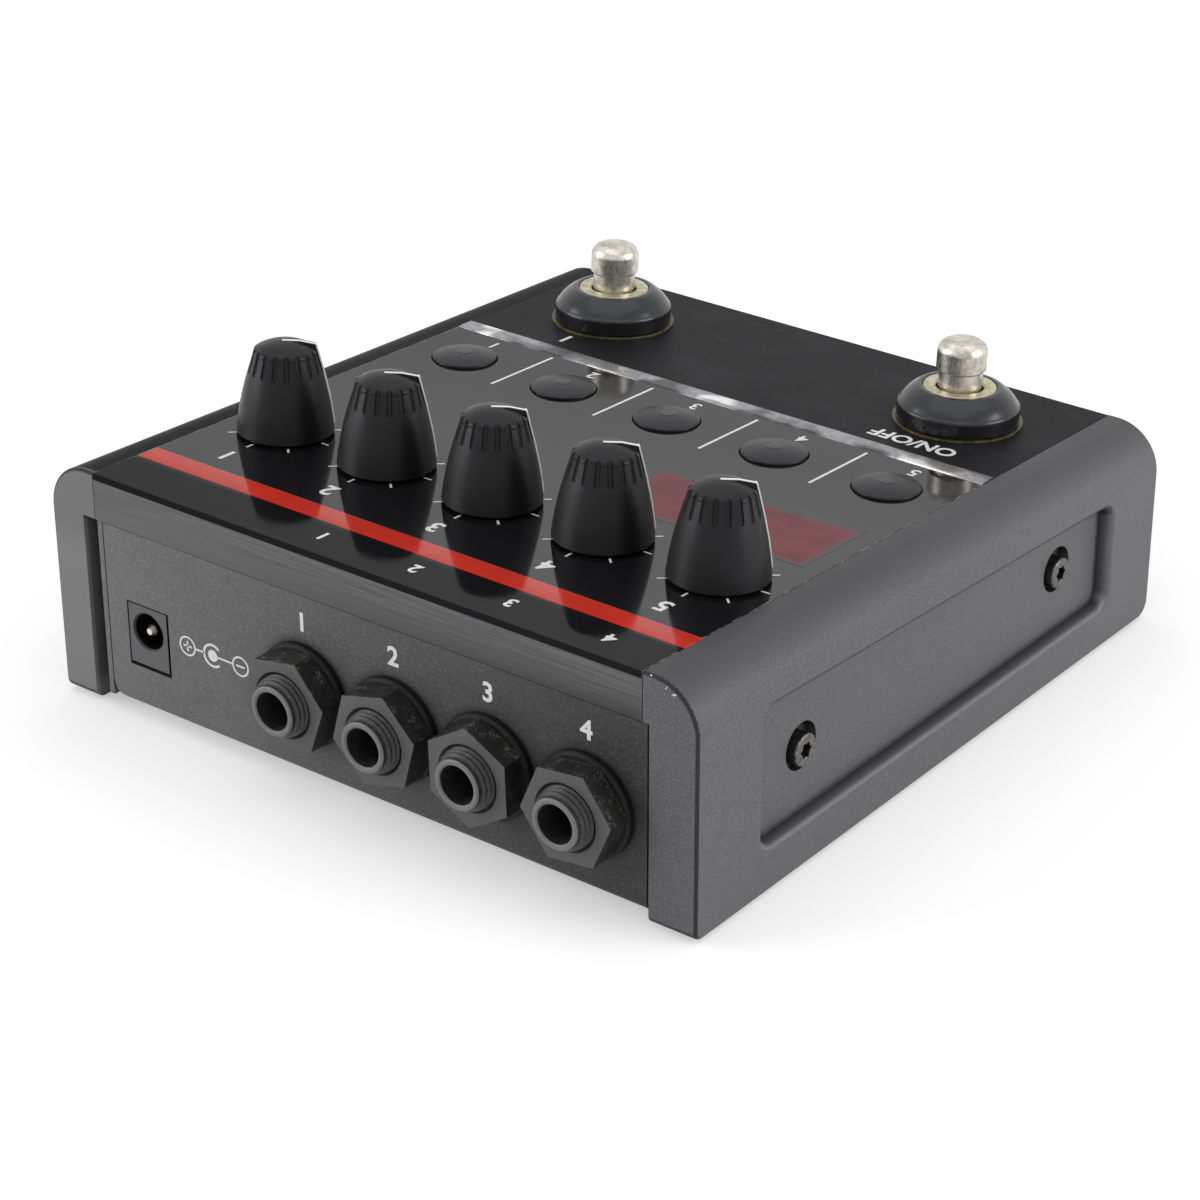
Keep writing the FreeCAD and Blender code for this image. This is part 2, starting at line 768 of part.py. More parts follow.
def pot_shaft(number, column):
    """Turning shaft with its wiper disc and a flat near the top."""
    turn = value("pointer_rest")
    body = new_body("pot_shaft_%d" % number, on_panel("%d * pitch" % column, "knob_line", turn))
    profile = new_sketch(body, "XZ_Plane")
    outline(profile, [
        (0.0, "shaft_top"), ("shaft_radius - 0.3", "shaft_top"),
        ("shaft_radius", "shaft_top - 0.3"), ("shaft_radius", -6.0), (6.6, -6.0), (6.6, -7.0),
        (0.0, -7.0),
    ])
    revolve(body, profile)
    flat = new_sketch(body, "XZ_Plane")
    box_outline(flat, 2.2, 6.0, 4.0, "shaft_top + 1.0")
    pocket(body, flat, "4 * shaft_radius")


def pot_nuts():
    body = new_body("pot_nuts", PANEL)
    sketch = new_sketch(body, "XY_Plane", 0.02)
    for column in COLUMNS:
        hexagon(sketch, "%d * pitch" % column, "knob_line", 10.0, 12.0)
    circles(sketch, [("%d * pitch" % column, "knob_line") for column in COLUMNS], 3.52)
    pad(body, sketch, 2.2)


# Buttons


def button(number, column):
    """Low domed push button with a small centre pip, a retaining flange and a stem."""
    body = new_body("button_%d" % number, on_panel("%d * pitch" % column, "button_line"))
    profile = new_sketch(body, "XZ_Plane")
    outline(profile, [
        (0.0, "button_crown"), (1.15, "button_crown - 0.05"), (1.5, "button_crown - 0.2"),
        (5.4, 0.55), ("button_radius", 0.25),
        ("button_radius", "-1 * cover_thick - 0.2"), ("button_flange", "-1 * cover_thick - 0.2"),
        ("button_flange", "-1 * cover_thick - 1.2"), ("stem_radius", "-1 * cover_thick - 1.2"),
        ("stem_radius", -8.0), (0.0, -8.0),
    ], arcs={2: (3.5, 0.98), 3: (5.64, 0.43)})
    revolve(body, profile)


def button_switches():
    """Square switch housings on the control board."""
    body = new_body("button_switches", PANEL)
    for low, height, bored in ((-10.0, 1.0, False), (-9.0, 3.0, True)):
        sketch = new_sketch(body, "XY_Plane", low)
        for column in COLUMNS:
            x = column * value("pitch")
            y = value("button_line")
            box_outline(sketch, x - 6, y - 6, x + 6, y + 6)
        if bored:
            circles(sketch, [("%d * pitch" % column, "button_line") for column in COLUMNS], 2.1)
        pad(body, sketch, height)


# Footswitches


def footswitch(number, side):
    """Plunger, threaded sleeve, switch body and return spring of one footswitch."""
    place = on_panel(side * value("footswitch_reach"), "footswitch_line")
    guide = "plunger_radius + 0.06"

    plunger = new_body("footswitch_plunger_%d" % number, place)
    profile = new_sketch(plunger, "XZ_Plane")
    outline(profile, [
        (0.0, "cap_top"), (2.4, "cap_top - 0.12"), ("cap_radius", "cap_top - 2.0"),
        ("cap_radius", "cap_under + 0.3"), ("cap_radius - 0.3", "cap_under"),
        ("plunger_radius", "cap_under"), ("plunger_radius", -7.3), (5.3, -7.3), (5.3, -8.5),
        (2.5, -8.5), (2.5, -11.5), (0.0, -11.5),
    ], arcs={0: (1.2, value("cap_top") - 0.03), 1: (3.75, value("cap_top") - 0.72)})
    revolve(plunger, profile)

    sleeve = new_body("footswitch_sleeve_%d" % number, place)
    profile = new_sketch(sleeve, "XZ_Plane")
    outline(profile, [
        (guide, "0.05 - switch_top"), ("sleeve_radius", "0.05 - switch_top"),
        ("sleeve_radius", "collar_top - 0.25"), ("sleeve_radius - 0.25", "collar_top"),
        ("sleeve_bore + 0.3", "collar_top"), ("sleeve_bore", "collar_top - 0.3"),
        ("sleeve_bore", 2.0), (guide, 2.0),
    ])
    revolve(sleeve, profile)

    switch = new_body("footswitch_body_%d" % number, place)
    block = new_sketch(switch, "XY_Plane", "-1 * switch_bottom")
    half = "0.5 * switch_side"
    box_outline(block, "-0.5 * switch_side", "-0.5 * switch_side", half, half)
    pad(switch, block, "switch_bottom - switch_top")
    cavity = new_sketch(switch, "XZ_Plane")
    outline(cavity, [
        (0.0, -17.0), (5.8, -17.0), (5.8, -7.0), (guide, -7.0), (guide, -5.0), (0.0, -5.0),
    ])
    turn_away(switch, cavity)

    spring = doc.addObject("Part::Feature", "footswitch_spring_%d" % number)
    spring.Label = "footswitch_spring_%d" % number
    spring.Shape = coil(radius=4.25, wire=0.4, low=-16.5, high=-9.0, turns=5)
    spring.Placement = SHIFT.multiply(place)


def coil(radius, wire, low, high, turns):
    """Open coil spring: one wire swept along a helix."""
    path = Part.makeHelix((high - low) / turns, high - low, radius)
    path.translate(Vector(0, 0, low))
    start = Vector(radius, 0, low)
    rise = (high - low) / turns / (2 * math.pi)
    section = Part.Wire(Part.makeCircle(wire, start, Vector(0, radius, rise)))
    return Part.Wire(path.Edges).makePipeShell([section], True, True)


def footswitch_collars():
    """Two round dress nuts with sloping, slightly hollow shoulders."""
    body = new_body("footswitch_collars", PANEL)
    base = "washer_thick + 0.03"
    for side in (1, -1):
        reach = side * value("footswitch_reach")
        profile = new_sketch(body, "XZ_Plane", "-1 * footswitch_line")
        points = [
            ("sleeve_radius + 0.03", base), ("collar_radius - 0.2", base),
            ("collar_radius", "washer_thick + 0.25"), ("collar_radius", "collar_wall - 0.4"),
            ("collar_radius - 0.35", "collar_wall + 0.25"),
            ("collar_crest + 0.35", "collar_top - 0.25"), ("collar_crest - 0.4", "collar_top"),
            ("sleeve_radius + 0.03", "collar_top"),
        ]
        shoulders = {3: (10.52, 3.27), 4: (9.15, 4.98), 5: (7.34, 6.34)}
        outline(
            profile, [(reach + value(x), z) for x, z in points],
            arcs={index: (reach + x, z) for index, (x, z) in shoulders.items()},
        )
        axis = sketch_axis(profile, Vector(reach, 0, 0), Vector(reach, 10, 0))
        revolve(body, profile, axis)


def footswitch_washers():
    body = new_body("footswitch_washers", PANEL)
    sketch = new_sketch(body, "XY_Plane", 0.01)
    places = [("footswitch_reach", "footswitch_line"), ("-1 * footswitch_reach", "footswitch_line")]
    circles(sketch, places, "washer_radius")
    circles(sketch, places, "sleeve_radius + 0.1")
    pad(body, sketch, "washer_thick")


def footswitch_lock_nuts():
    body = new_body("footswitch_lock_nuts", PANEL)
    sketch = new_sketch(body, "XY_Plane", "-1 * cover_thick - 2.1")
    for side in (-1, 1):
        hexagon(sketch, side * value("footswitch_reach"), "footswitch_line", 15.0, 15.0)
    circles(sketch, [
        ("footswitch_reach", "footswitch_line"), ("-1 * footswitch_reach", "footswitch_line"),
    ], "sleeve_radius + 0.03")
    pad(body, sketch, 2.05)


def footswitch_terminals():
    """Solder lugs under both footswitches."""
    body = new_body("footswitch_terminals", PANEL)
    sketch = new_sketch(body, "XY_Plane", "-1 * switch_bottom - 4.0")
    for side in (-1, 1):
        for across in (-4.5, 0.0, 4.5):
            for along in (-4.5, 0.0, 4.5):
                x = side * value("footswitch_reach") + across
                y = value("footswitch_line") + along
                box_outline(sketch, x - 1.1, y - 0.4, x + 1.1, y + 0.4)
    pad(body, sketch, 3.98)


# Sockets


def jack_place(number):
    x = value("jack_first - %d * jack_pitch" % number)
    return Placement(Vector(x, 0, value("jack_level")), FACING_REAR)


def jack(number):
    """Quarter-inch socket: housing on the board, threaded barrel and plain tip."""
    body = new_body("jack_%d" % (number + 1), jack_place(number))
    housing = new_sketch(body, "XY_Plane", 42.0)
    box_outline(housing, -7.7, -7.0, 7.7, "jack_level - main_level")
    pad(body, housing, 23.4)
    soften(body, "Chamfer", 0.6, lambda edge: straight_along(edge, ALONG_Z))
    barrel = new_sketch(body, "XZ_Plane")
    mouth = HALF_DEPTH + value("jack_reach")
    turns = []
    for back, ridge, root in ((2.9, 0.0, 0.4), (2.1, 0.15, 0.55), (1.3, 0.4, 0.8)):
        turns += [
            ("jack_thread - %s" % ridge, mouth - back), ("jack_thread - %s" % root, mouth - back + 0.4),
        ]
    outline(barrel, [
        (0.0, 60.0), ("jack_thread", 60.0), *turns, ("jack_tip", mouth - 0.9),
        ("jack_tip", mouth - 0.25), ("jack_tip - 0.25", mouth), (0.0, mouth),
    ])
    revolve(body, barrel)
    bore = new_sketch(body, "XZ_Plane")
    outline(bore, [
        (0.0, 43.5), ("jack_bore", 43.5), ("jack_bore", mouth - 0.25),
        ("jack_bore + 0.3", mouth + 0.05), (0.0, mouth + 0.05),
    ])
    turn_away(body, bore)


def jack_nuts():
    """Flanged hexagon nuts outside the rear panel."""
    body = new_body("jack_nuts", Placement(Vector(0, 0, value("jack_level")), FACING_REAR))
    places = [("jack_first - %d * jack_pitch" % number, 0.0) for number in JACKS]
    flange = new_sketch(body, "XY_Plane", HALF_DEPTH + 0.02)
    circles(flange, places, "nut_flange")
    circles(flange, places, "jack_thread + 0.03")
    pad(body, flange, 1.3)
    soften(body, "Chamfer", 0.4, lambda edge: (
        near(middle_of(edge).z, HALF_DEPTH + 1.32)
        and near(edge.Length, 2 * math.pi * value("nut_flange"), 0.1)
    ))
    nuts = new_sketch(body, "XY_Plane", HALF_DEPTH + 1.0)
    for (x, y), turn in zip(places, NUT_TURNS):
        hexagon(nuts, x, y, "nut_flats", -turn)
    circles(nuts, places, "jack_thread + 0.03")
    pad(body, nuts, "nut_face - 1.0")
    soften(body, "Chamfer", 0.45, lambda edge: (
        near(middle_of(edge).z, HALF_DEPTH + value("nut_face"))
        and edge.Curve.TypeId == "Part::GeomCircle"
    ))


def jack_terminals():
    """Solder pins behind the sockets, down to the main board."""
    body = new_body("jack_terminals")
    sketch = new_sketch(body, "XY_Plane", "main_level")
    for number in JACKS:
        x = value("jack_first - %d * jack_pitch" % number)
        for across in (-5.0, 0.0, 5.0):
            box_outline(sketch, x + across - 0.9, 41.3, x + across + 0.9, 41.98)
    pad(body, sketch, 9.0)


def dc_inlet():
    """Power inlet housing, flush with the rear panel, with a round hole."""
    body = new_body("dc_inlet", Placement(Vector(0, 0, 0), FACING_REAR))
    face = HALF_DEPTH - 0.05
    block = new_sketch(body, "XY_Plane", 53.5)
    box_outline(
        block, "inlet_centre - 0.5 * inlet_width + inlet_side_gap", "inlet_gap - inlet_high",
        "inlet_centre + 0.5 * inlet_width - inlet_gap", "-1 * inlet_low - inlet_low_gap",
    )
    pad(body, block, face - 53.5)
    hole = new_sketch(body, "XY_Plane", face)
    circles(hole, [("inlet_hole_across", "-1 * inlet_hole_level")], "inlet_hole_radius")
    pocket(body, hole, 19.0)
    soften(body, "Chamfer", 0.3, lambda edge: (
        near(middle_of(edge).z, face) and edge.Curve.TypeId == "Part::GeomCircle"
    ))


def dc_pin():
    place = Vector(value("inlet_hole_across"), 0, value("inlet_hole_level"))
    body = new_body("dc_pin", Placement(place, FACING_REAR))
    profile = new_sketch(body, "XZ_Plane")
    outline(profile, [
        (0.0, 57.96), ("inlet_pin_radius", 57.96), ("inlet_pin_radius", 66.4), (0.55, 67.2),
        (0.0, 67.2),
    ])
    revolve(body, profile)


# Boards


def main_board():
    body = new_body("main_board")
    sketch = new_sketch(body, "XY_Plane", "main_level - board_thick")
    box_outline(sketch, -51.5, -30.0, 51.5, 64.5)
    circles(sketch, STANDOFFS, 1.35)
    pad(body, sketch, "board_thick - 0.02")


def control_board():
    body = new_body("control_board", PANEL)
    sketch = new_sketch(body, "XY_Plane", "-1 * control_drop - board_thick")
    box_outline(sketch, -52.0, -22.0, 52.0, 61.0)
    pad(body, sketch, "board_thick - 0.02")


def board_standoffs():
    body = new_body("board_standoffs")
    sketch = new_sketch(body, "XY_Plane", "floor_level + sheet_wall + 0.01")
    circles(sketch, STANDOFFS, 2.6)
    circles(sketch, STANDOFFS, 1.3)
    pad(body, sketch, "main_level - board_thick - floor_level - sheet_wall - 0.03")


def base_screws():
    """Pan-head screws from below, through the floor, standoffs and main board."""
    body = new_body("base_screws")
    heads = new_sketch(body, "XY_Plane", 1.2)
    circles(heads, STANDOFFS, 2.4)
    pad(body, heads, "floor_level - 1.22")
    soften(body, "Fillet", 0.5, lambda edge: near(middle_of(edge).z, 1.2))
    shanks = new_sketch(body, "XY_Plane", "floor_level - 0.1")
    circles(shanks, STANDOFFS, 1.25)
    pad(body, shanks, 9.6)
    slots = new_sketch(body, "XY_Plane", 1.2)
    for x, y in STANDOFFS:
        box_outline(slots, x - 1.4, y - 0.35, x + 1.4, y + 0.35)
    pocket(body, slots, 1.2)


def ribbon_cable():
    """Flat cable between the boards, with one loose fold."""
    body = new_body("ribbon_cable")
    high = PANEL_LEVEL - 17.0 * math.tan(math.radians(TILT)) - 11.75
    low = value("main_level")
    profile = new_sketch(body, "YZ_Plane")
    outline(profile, [
        (-17.0, low), (-16.3, low), (-20.3, (low + high) / 2), (-16.3, high - 0.1), (-17.0, high - 0.1),
        (-21.0, (low + high) / 2),
    ])
    pad(body, profile, 24.0, symmetric=True)


side_rail("left_rail", -1, "left_rail_step")
side_rail("right_rail", 1, "right_rail_step")
top_cover()
chassis()
rear_panel()
side_walls()
rail_screws()
clinch_nuts()
rubber_feet()
overlay_panel()
divider_strip()
display_window()
display_module()
for count, place in enumerate(COLUMNS, start=1):
    knob(count, place)
    potentiometer(count, place)
    pot_shaft(count, place)
    button(count, place)
pot_nuts()
button_switches()
footswitch(1, 1)
footswitch(2, -1)
footswitch_collars()
footswitch_washers()
footswitch_lock_nuts()
footswitch_terminals()
for count in JACKS:
    jack(count)
jack_nuts()
jack_terminals()
dc_inlet()
dc_pin()
main_board()
control_board()
board_standoffs()
base_screws()
ribbon_cable()

doc.recompute()
os.makedirs("parts", exist_ok=True)
pieces = [
    item for item in doc.Objects
    if item.TypeId == "PartDesign::Body" or item.TypeId == "Part::Feature"
]
for item in doc.Objects:
    if "Invalid" in item.State or "Error" in item.State:
        raise ValueError("%s is not valid: %s" % (item.Label, item.State))
for piece in pieces:
    shape = piece.Shape
    if shape.isNull() or not shape.isValid() or not shape.Solids:
        raise ValueError(piece.Label + " has no valid solid")
    shape.exportStep("parts/%s.step" % piece.Label)
    print(piece.Label, len(shape.Solids), "solids, volume", round(shape.Volume, 1))
print(len(pieces), "parts")
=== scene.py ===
import json
import math

import bpy
from mathutils import Matrix, Vector


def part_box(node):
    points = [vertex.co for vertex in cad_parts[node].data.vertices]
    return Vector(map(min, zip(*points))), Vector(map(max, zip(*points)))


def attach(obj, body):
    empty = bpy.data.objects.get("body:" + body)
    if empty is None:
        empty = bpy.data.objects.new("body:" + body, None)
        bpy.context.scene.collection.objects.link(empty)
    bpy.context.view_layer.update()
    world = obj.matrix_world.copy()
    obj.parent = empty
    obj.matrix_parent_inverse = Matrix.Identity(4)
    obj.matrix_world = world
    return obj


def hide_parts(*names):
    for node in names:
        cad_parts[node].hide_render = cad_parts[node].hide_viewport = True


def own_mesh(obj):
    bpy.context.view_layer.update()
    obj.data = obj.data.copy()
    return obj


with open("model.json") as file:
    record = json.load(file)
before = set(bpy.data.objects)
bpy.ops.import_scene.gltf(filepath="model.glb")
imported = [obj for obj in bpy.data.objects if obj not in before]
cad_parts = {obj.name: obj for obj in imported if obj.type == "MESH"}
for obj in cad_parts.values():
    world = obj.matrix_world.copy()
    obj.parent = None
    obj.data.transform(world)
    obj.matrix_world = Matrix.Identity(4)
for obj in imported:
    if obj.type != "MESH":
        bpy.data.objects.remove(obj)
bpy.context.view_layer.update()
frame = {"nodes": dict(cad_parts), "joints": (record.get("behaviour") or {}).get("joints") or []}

MM = 0.001
COOL = (0.93, 0.945, 1.0)  # faint blue in the black parts' highlights
NODES = frame["nodes"]
JOINTS = {joint["name"]: joint for joint in frame["joints"]}

# The sloping panel's own axes, taken from the middle knob's joint. Places along the panel
# are in millimetres, rearwards from PANEL_ORIGIN, unless a name or comment says otherwise.
KNOB_LINE = 33.3
PANEL_UP = Vector(JOINTS["knob_3_turn"]["axis"]).normalized()
PANEL_ACROSS = Vector((1, 0, 0))
PANEL_ALONG = PANEL_UP.cross(PANEL_ACROSS)
PANEL_ORIGIN = Vector(JOINTS["knob_3_turn"]["pos_m"]) - PANEL_ALONG * KNOB_LINE * MM

KNOB_PLACES = [Vector(JOINTS["knob_%d_turn" % n]["pos_m"]) for n in range(1, 6)]
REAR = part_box("rear_panel")[1].y
PANEL_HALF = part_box("overlay_panel")[1].x
WINDOW_FRONT, WINDOW_REAR = 3.98, 21.32
STRIPE_FRONT, STRIPE_REAR = 52.7, 57.3
PIP_BOTTOM, PIP_TOP = 1.18, 1.32  # above the panel

# Each printed number's line along the panel, size and added weight
KNOB_NUMBERS = (47.4, 5.0, 0.13)
BUTTON_NUMBERS = (-22.2, 3.8, 0.06)
SOCKET_TOP_NUMBERS = (61.7, 3.8, 0.10)
FOOTSWITCH_MARKS = (-33.6, 4.6, 0.12)
SOCKET_NUMBERS = (30.0, 4.6, 0.12)  # height on the rear panel, size and weight

TICK_INNER, TICK_OUTER, TICK_WIDTH = 8.0, 9.6, 0.38
TICK_COUNT, TICK_TURN = 7, 45
KNOB_REST = 225  # degrees from the panel's across axis to the pointer at rest
SEPARATOR_FRONT, SEPARATOR_REAR, SEPARATOR_WIDTH = -24.2, -6.9, 0.50
SEPARATOR_SHIFT = -0.5


def panel_matrix(x, y, lift=0.0):
    """Place on the panel: x across and y along it in millimetres, lift above it."""
    spot = PANEL_ORIGIN + (PANEL_ACROSS * x + PANEL_ALONG * y + PANEL_UP * lift) * MM
    turn = Matrix((PANEL_ACROSS, PANEL_ALONG, PANEL_UP)).transposed()
    return Matrix.Translation(spot) @ turn.to_4x4()


def rear_matrix(x, z):
    """Place on the rear panel in millimetres, as read by someone who faces it."""
    spot = Vector((x * MM, REAR, z * MM))
    turn = Matrix(((-1, 0, 0), (0, 0, 1), (0, 1, 0))).transposed()
    return Matrix.Translation(spot) @ turn.to_4x4()


class Shader:
    """A node material, with short names for the nodes used here."""

    def __init__(self, name, **values):
        self.material = bpy.data.materials.new(name)
        self.material.use_nodes = True
        self.tree = self.material.node_tree
        self.tree.nodes.clear()
        self.surface = self.add("ShaderNodeBsdfPrincipled")
        output = self.add("ShaderNodeOutputMaterial")
        self.tree.links.new(self.surface.outputs["BSDF"], output.inputs["Surface"])
        self.place = self.add("ShaderNodeTexCoord").outputs["Object"]
        for socket, value in values.items():
            self.put(self.surface, socket.replace("_", " "), value)

    def add(self, kind, **settings):
        node = self.tree.nodes.new(kind)
        for key, value in settings.items():
            setattr(node, key, value)
        return node

    def put(self, node, socket, value):
        """Link a socket to a node's input, or set the input to a constant."""
        target = node.inputs[socket]
        if isinstance(value, bpy.types.NodeSocket):
            self.tree.links.new(value, target)
        elif target.type == "RGBA":
            target.default_value = (*value, 1.0)[:4]
        else:
            target.default_value = value

    def set(self, socket, value):
        """Set or link one of the surface's sockets."""
        self.put(self.surface, socket, value)

    def math(self, operation, first, second=0.0):
        node = self.add("ShaderNodeMath", operation=operation)
        self.put(node, 0, first)
        self.put(node, 1, second)
        return node.outputs[0]

    def times(self, first, second):
        return self.math("MULTIPLY", first, second)

    def stretch(self, scale):
        """Place on the piece, scaled along each axis."""
        node = self.add("ShaderNodeVectorMath", operation="MULTIPLY")
        self.put(node, 0, self.place)
        self.put(node, 1, scale)
        return node.outputs[0]

    def noise(self, size_mm, detail=3.0, rough=0.5, along=(1, 1, 1), distortion=0.0):
        """Noise whose features are about size_mm across; along stretches it."""
        node = self.add("ShaderNodeTexNoise")
        self.put(node, "Vector", self.stretch(tuple(1 / a for a in along)))
        self.put(node, "Scale", 1000.0 / size_mm)
        self.put(node, "Detail", detail)
        self.put(node, "Roughness", rough)
        self.put(node, "Distortion", distortion)
        return node.outputs["Fac"]

    def cells(self, size_mm):
        """Distance from the middle of the nearest cell, in cells."""
        node = self.add("ShaderNodeTexVoronoi", feature="F1")
        self.put(node, "Vector", self.place)
        self.put(node, "Scale", 1000.0 / size_mm)
        return node.outputs["Distance"]

    def level(self, value, low, high, to_low=0.0, to_high=1.0):
        """A value's place between low and high, as a number from to_low to to_high."""
        node = self.add("ShaderNodeMapRange", clamp=True)
        self.put(node, "Value", value)
        self.put(node, "From Min", low)
        self.put(node, "From Max", high)
        self.put(node, "To Min", to_low)
        self.put(node, "To Max", to_high)
        return node.outputs["Result"]

    def mix(self, share, first, second):
        """The first colour at share 0, the second at share 1."""
        node = self.add("ShaderNodeMix", data_type="RGBA")
        self.put(node, 0, share)
        self.put(node, 6, first)
        self.put(node, 7, second)
        return node.outputs[2]

    def axis(self, direction, origin=(0, 0, 0)):
        """Distance in metres along a direction from an origin."""
        away = self.add("ShaderNodeVectorMath", operation="SUBTRACT")
        self.put(away, 0, self.place)
        self.put(away, 1, tuple(origin))
        dot = self.add("ShaderNodeVectorMath", operation="DOT_PRODUCT")
        self.put(dot, 0, away.outputs[0])
        self.put(dot, 1, tuple(direction))
        return dot.outputs["Value"]

    def band(self, value, low, high, soft=0.03 * MM):
        """1 between low and high, 0 outside."""
        rise = self.level(value, low - soft, low + soft)
        fall = self.level(value, high - soft, high + soft, 1.0, 0.0)
        return self.times(rise, fall)

    def facing(self, direction, low, high, normal="True Normal"):
        """1 where the surface faces a direction, 0 where it turns away."""
        geometry = self.add("ShaderNodeNewGeometry")
        dot = self.add("ShaderNodeVectorMath", operation="DOT_PRODUCT")
        self.put(dot, 0, geometry.outputs[normal])
        self.put(dot, 1, tuple(direction))
        return self.level(dot.outputs["Value"], low, high)

    def own_side(self, direction, low, high):
        """1 on the piece's own side towards a direction, which turns with the piece."""
        coordinates = self.add("ShaderNodeTexCoord")
        dot = self.add("ShaderNodeVectorMath", operation="DOT_PRODUCT")
        self.put(dot, 0, coordinates.outputs["Normal"])
        self.put(dot, 1, tuple(direction))
        return self.level(dot.outputs["Value"], low, high)

    def spots(self, places, radius_mm, ragged_mm=0.5):
        """1 within ragged spots round the given places, in millimetres."""
        noise = self.add("ShaderNodeTexNoise")
        self.put(noise, "Vector", self.place)
        self.put(noise, "Scale", 1400.0)
        centred = self.math("SUBTRACT", noise.outputs["Fac"], 0.5)
        shift = self.times(centred, ragged_mm * 4 * MM)
        total = None
        for place in places:
            away = self.add("ShaderNodeVectorMath", operation="DISTANCE")
            self.put(away, 0, self.place)
            self.put(away, 1, tuple(Vector(place) * MM))
            ragged = self.math("ADD", away.outputs["Value"], shift)
            near = self.level(ragged, radius_mm * MM, (radius_mm + 0.06) * MM, 1.0, 0.0)
            total = near if total is None else self.math("MAXIMUM", total, near)
        return total

    def slope_along_y(self):
        """The surface's own normal along Y."""
        geometry = self.add("ShaderNodeNewGeometry")
        split = self.add("ShaderNodeSeparateXYZ")
        self.put(split, 0, geometry.outputs["True Normal"])
        return split.outputs[1]

    def crevice(self, reach_mm, low=0.55, high=0.95):
        """1 deep in a corner or seam, 0 in the open."""
        node = self.add("ShaderNodeAmbientOcclusion", samples=6)
        self.put(node, "Distance", reach_mm * MM)
        return self.level(node.outputs["AO"], low, high, 1.0, 0.0)

    def bump(self, height, distance_mm, strength=1.0, round_mm=0.0):
        """Relief from a height, over edges that look rounded by round_mm."""
        node = self.add("ShaderNodeBump")
        self.put(node, "Height", height)
        self.put(node, "Distance", distance_mm * MM)
        self.put(node, "Strength", strength)
        if round_mm:
            rounding = self.add("ShaderNodeBevel", samples=4)
            self.put(rounding, "Radius", round_mm * MM)
            self.put(node, "Normal", rounding.outputs["Normal"])
        self.set("Normal", node.outputs["Normal"])


def dusty(shader, base, dust, amount, size=7.0):
    """Base colour with soft patches and fine specks of dust."""
    patches = shader.level(shader.noise(size, 5.0, 0.6), 0.42, 0.75)
    specks = shader.level(shader.noise(0.35, 2.0, 0.7), 0.60, 0.78)
    share = shader.times(shader.times(patches, specks), amount)
    return shader.mix(share, base, dust)


RAIL_CHIPS = [
    (-55.7, 63.4, 42.6), (-57.4, 63.4, 43.2), (-60.3, 63.3, 42.0),
    (-61.6, 63.3, 41.3), (-63.5, 63.1, 39.2), (-64.1, 63.1, 38.1),
]


def rail_paint():
    """Textured charcoal with painted shade on top and in crevices, painted light and shade round
    the recess and on the rear ends, and a few chips down to the metal.
    """
    shader = Shader("rail_paint")
    grain = shader.noise(0.28, 3.0, 0.75)
    cloud = shader.noise(16.0, 3.0, 0.5)
    along = shader.axis((0, 1, 0))
    height = shader.axis((0, 0, 1))
    base = shader.mix(shader.level(cloud, 0.3, 0.7), (0.076, 0.075, 0.080), (0.092, 0.091, 0.097))
    # Painted light: the rail's base colour is paler towards the front.
    near = shader.mix(shader.level(along, -50 * MM, -5 * MM), (0.098, 0.097, 0.101), base)
    paint = shader.mix(shader.level(grain, 0.42, 0.60), near, (0.138, 0.136, 0.144))

    # Painted shade on the recess's upper lip seen from below; a painted highlight on its lower lip
    # and painted shade on the upward-facing floor below it
    above = shader.level(height, 20 * MM, 22 * MM)
    under = shader.times(shader.facing((0, 0, -1), 0.12, 0.40, "Normal"), above)
    paint = shader.mix(shader.times(under, 0.85), paint, (0.016, 0.016, 0.018))
    below = shader.level(height, 26 * MM, 28 * MM, 1.0, 0.0)
    lip = shader.times(shader.facing((0, 0, 1), 0.20, 0.42, "Normal"), below)
    paint = shader.mix(shader.times(lip, 0.6), paint, (0.21, 0.21, 0.22))
    ledge = shader.times(shader.facing((0, 0, 1), 0.55, 0.85, "Normal"), below)
    paint = shader.mix(shader.times(ledge, 0.8), paint, (0.030, 0.030, 0.033))

    # Painted shade on the top, deepest on the rail at +X; painted light on that rail's rear end,
    # and painted shade along the rounded edges of both rails' rear ends
    high = shader.level(height, 28 * MM, 32 * MM)
    top = shader.times(shader.facing((0, 0, 1), 0.50, 0.98, "Normal"), high)
    far = shader.level(shader.axis((1, 0, 0)), 50 * MM, 56 * MM)
    top_shade = shader.mix(far, (0.072, 0.072, 0.077), (0.012, 0.012, 0.012))
    paint = shader.mix(top, paint, top_shade)
    end = shader.level(along, REAR - 0.9 * MM, REAR - 0.7 * MM)
    paint = shader.mix(shader.times(end, far), paint, (0.190, 0.190, 0.189))
    edge = shader.times(end, shader.band(shader.slope_along_y(), 0.12, 0.97, 0.02))
    paint = shader.mix(shader.times(edge, 0.8), paint, (0.012, 0.012, 0.014))
    # Painted shade in crevices and seams.
    paint = shader.mix(shader.times(shader.crevice(1.2), 0.75), paint, (0.014, 0.014, 0.015))

    chips = shader.spots(RAIL_CHIPS, 0.15, 0.40)
    shader.set("Base Color", shader.mix(chips, paint, (0.62, 0.62, 0.62)))
    shader.set("Metallic", shader.times(chips, 0.7))
    top_shine = shader.level(shader.math("MAXIMUM", edge, top), 0.0, 1.0, 0.30, 0.16)
    far_shine = shader.level(shader.times(far, high), 0.0, 1.0, 1.0, 0.22)
    shader.set("Specular IOR Level", shader.times(top_shine, far_shine))
    shader.set("Specular Tint", COOL)
    shader.set("Roughness", shader.level(cloud, 0.3, 0.7, 0.42, 0.50))
    shader.bump(grain, 0.02, 0.6, round_mm=0.25)
    return shader.material


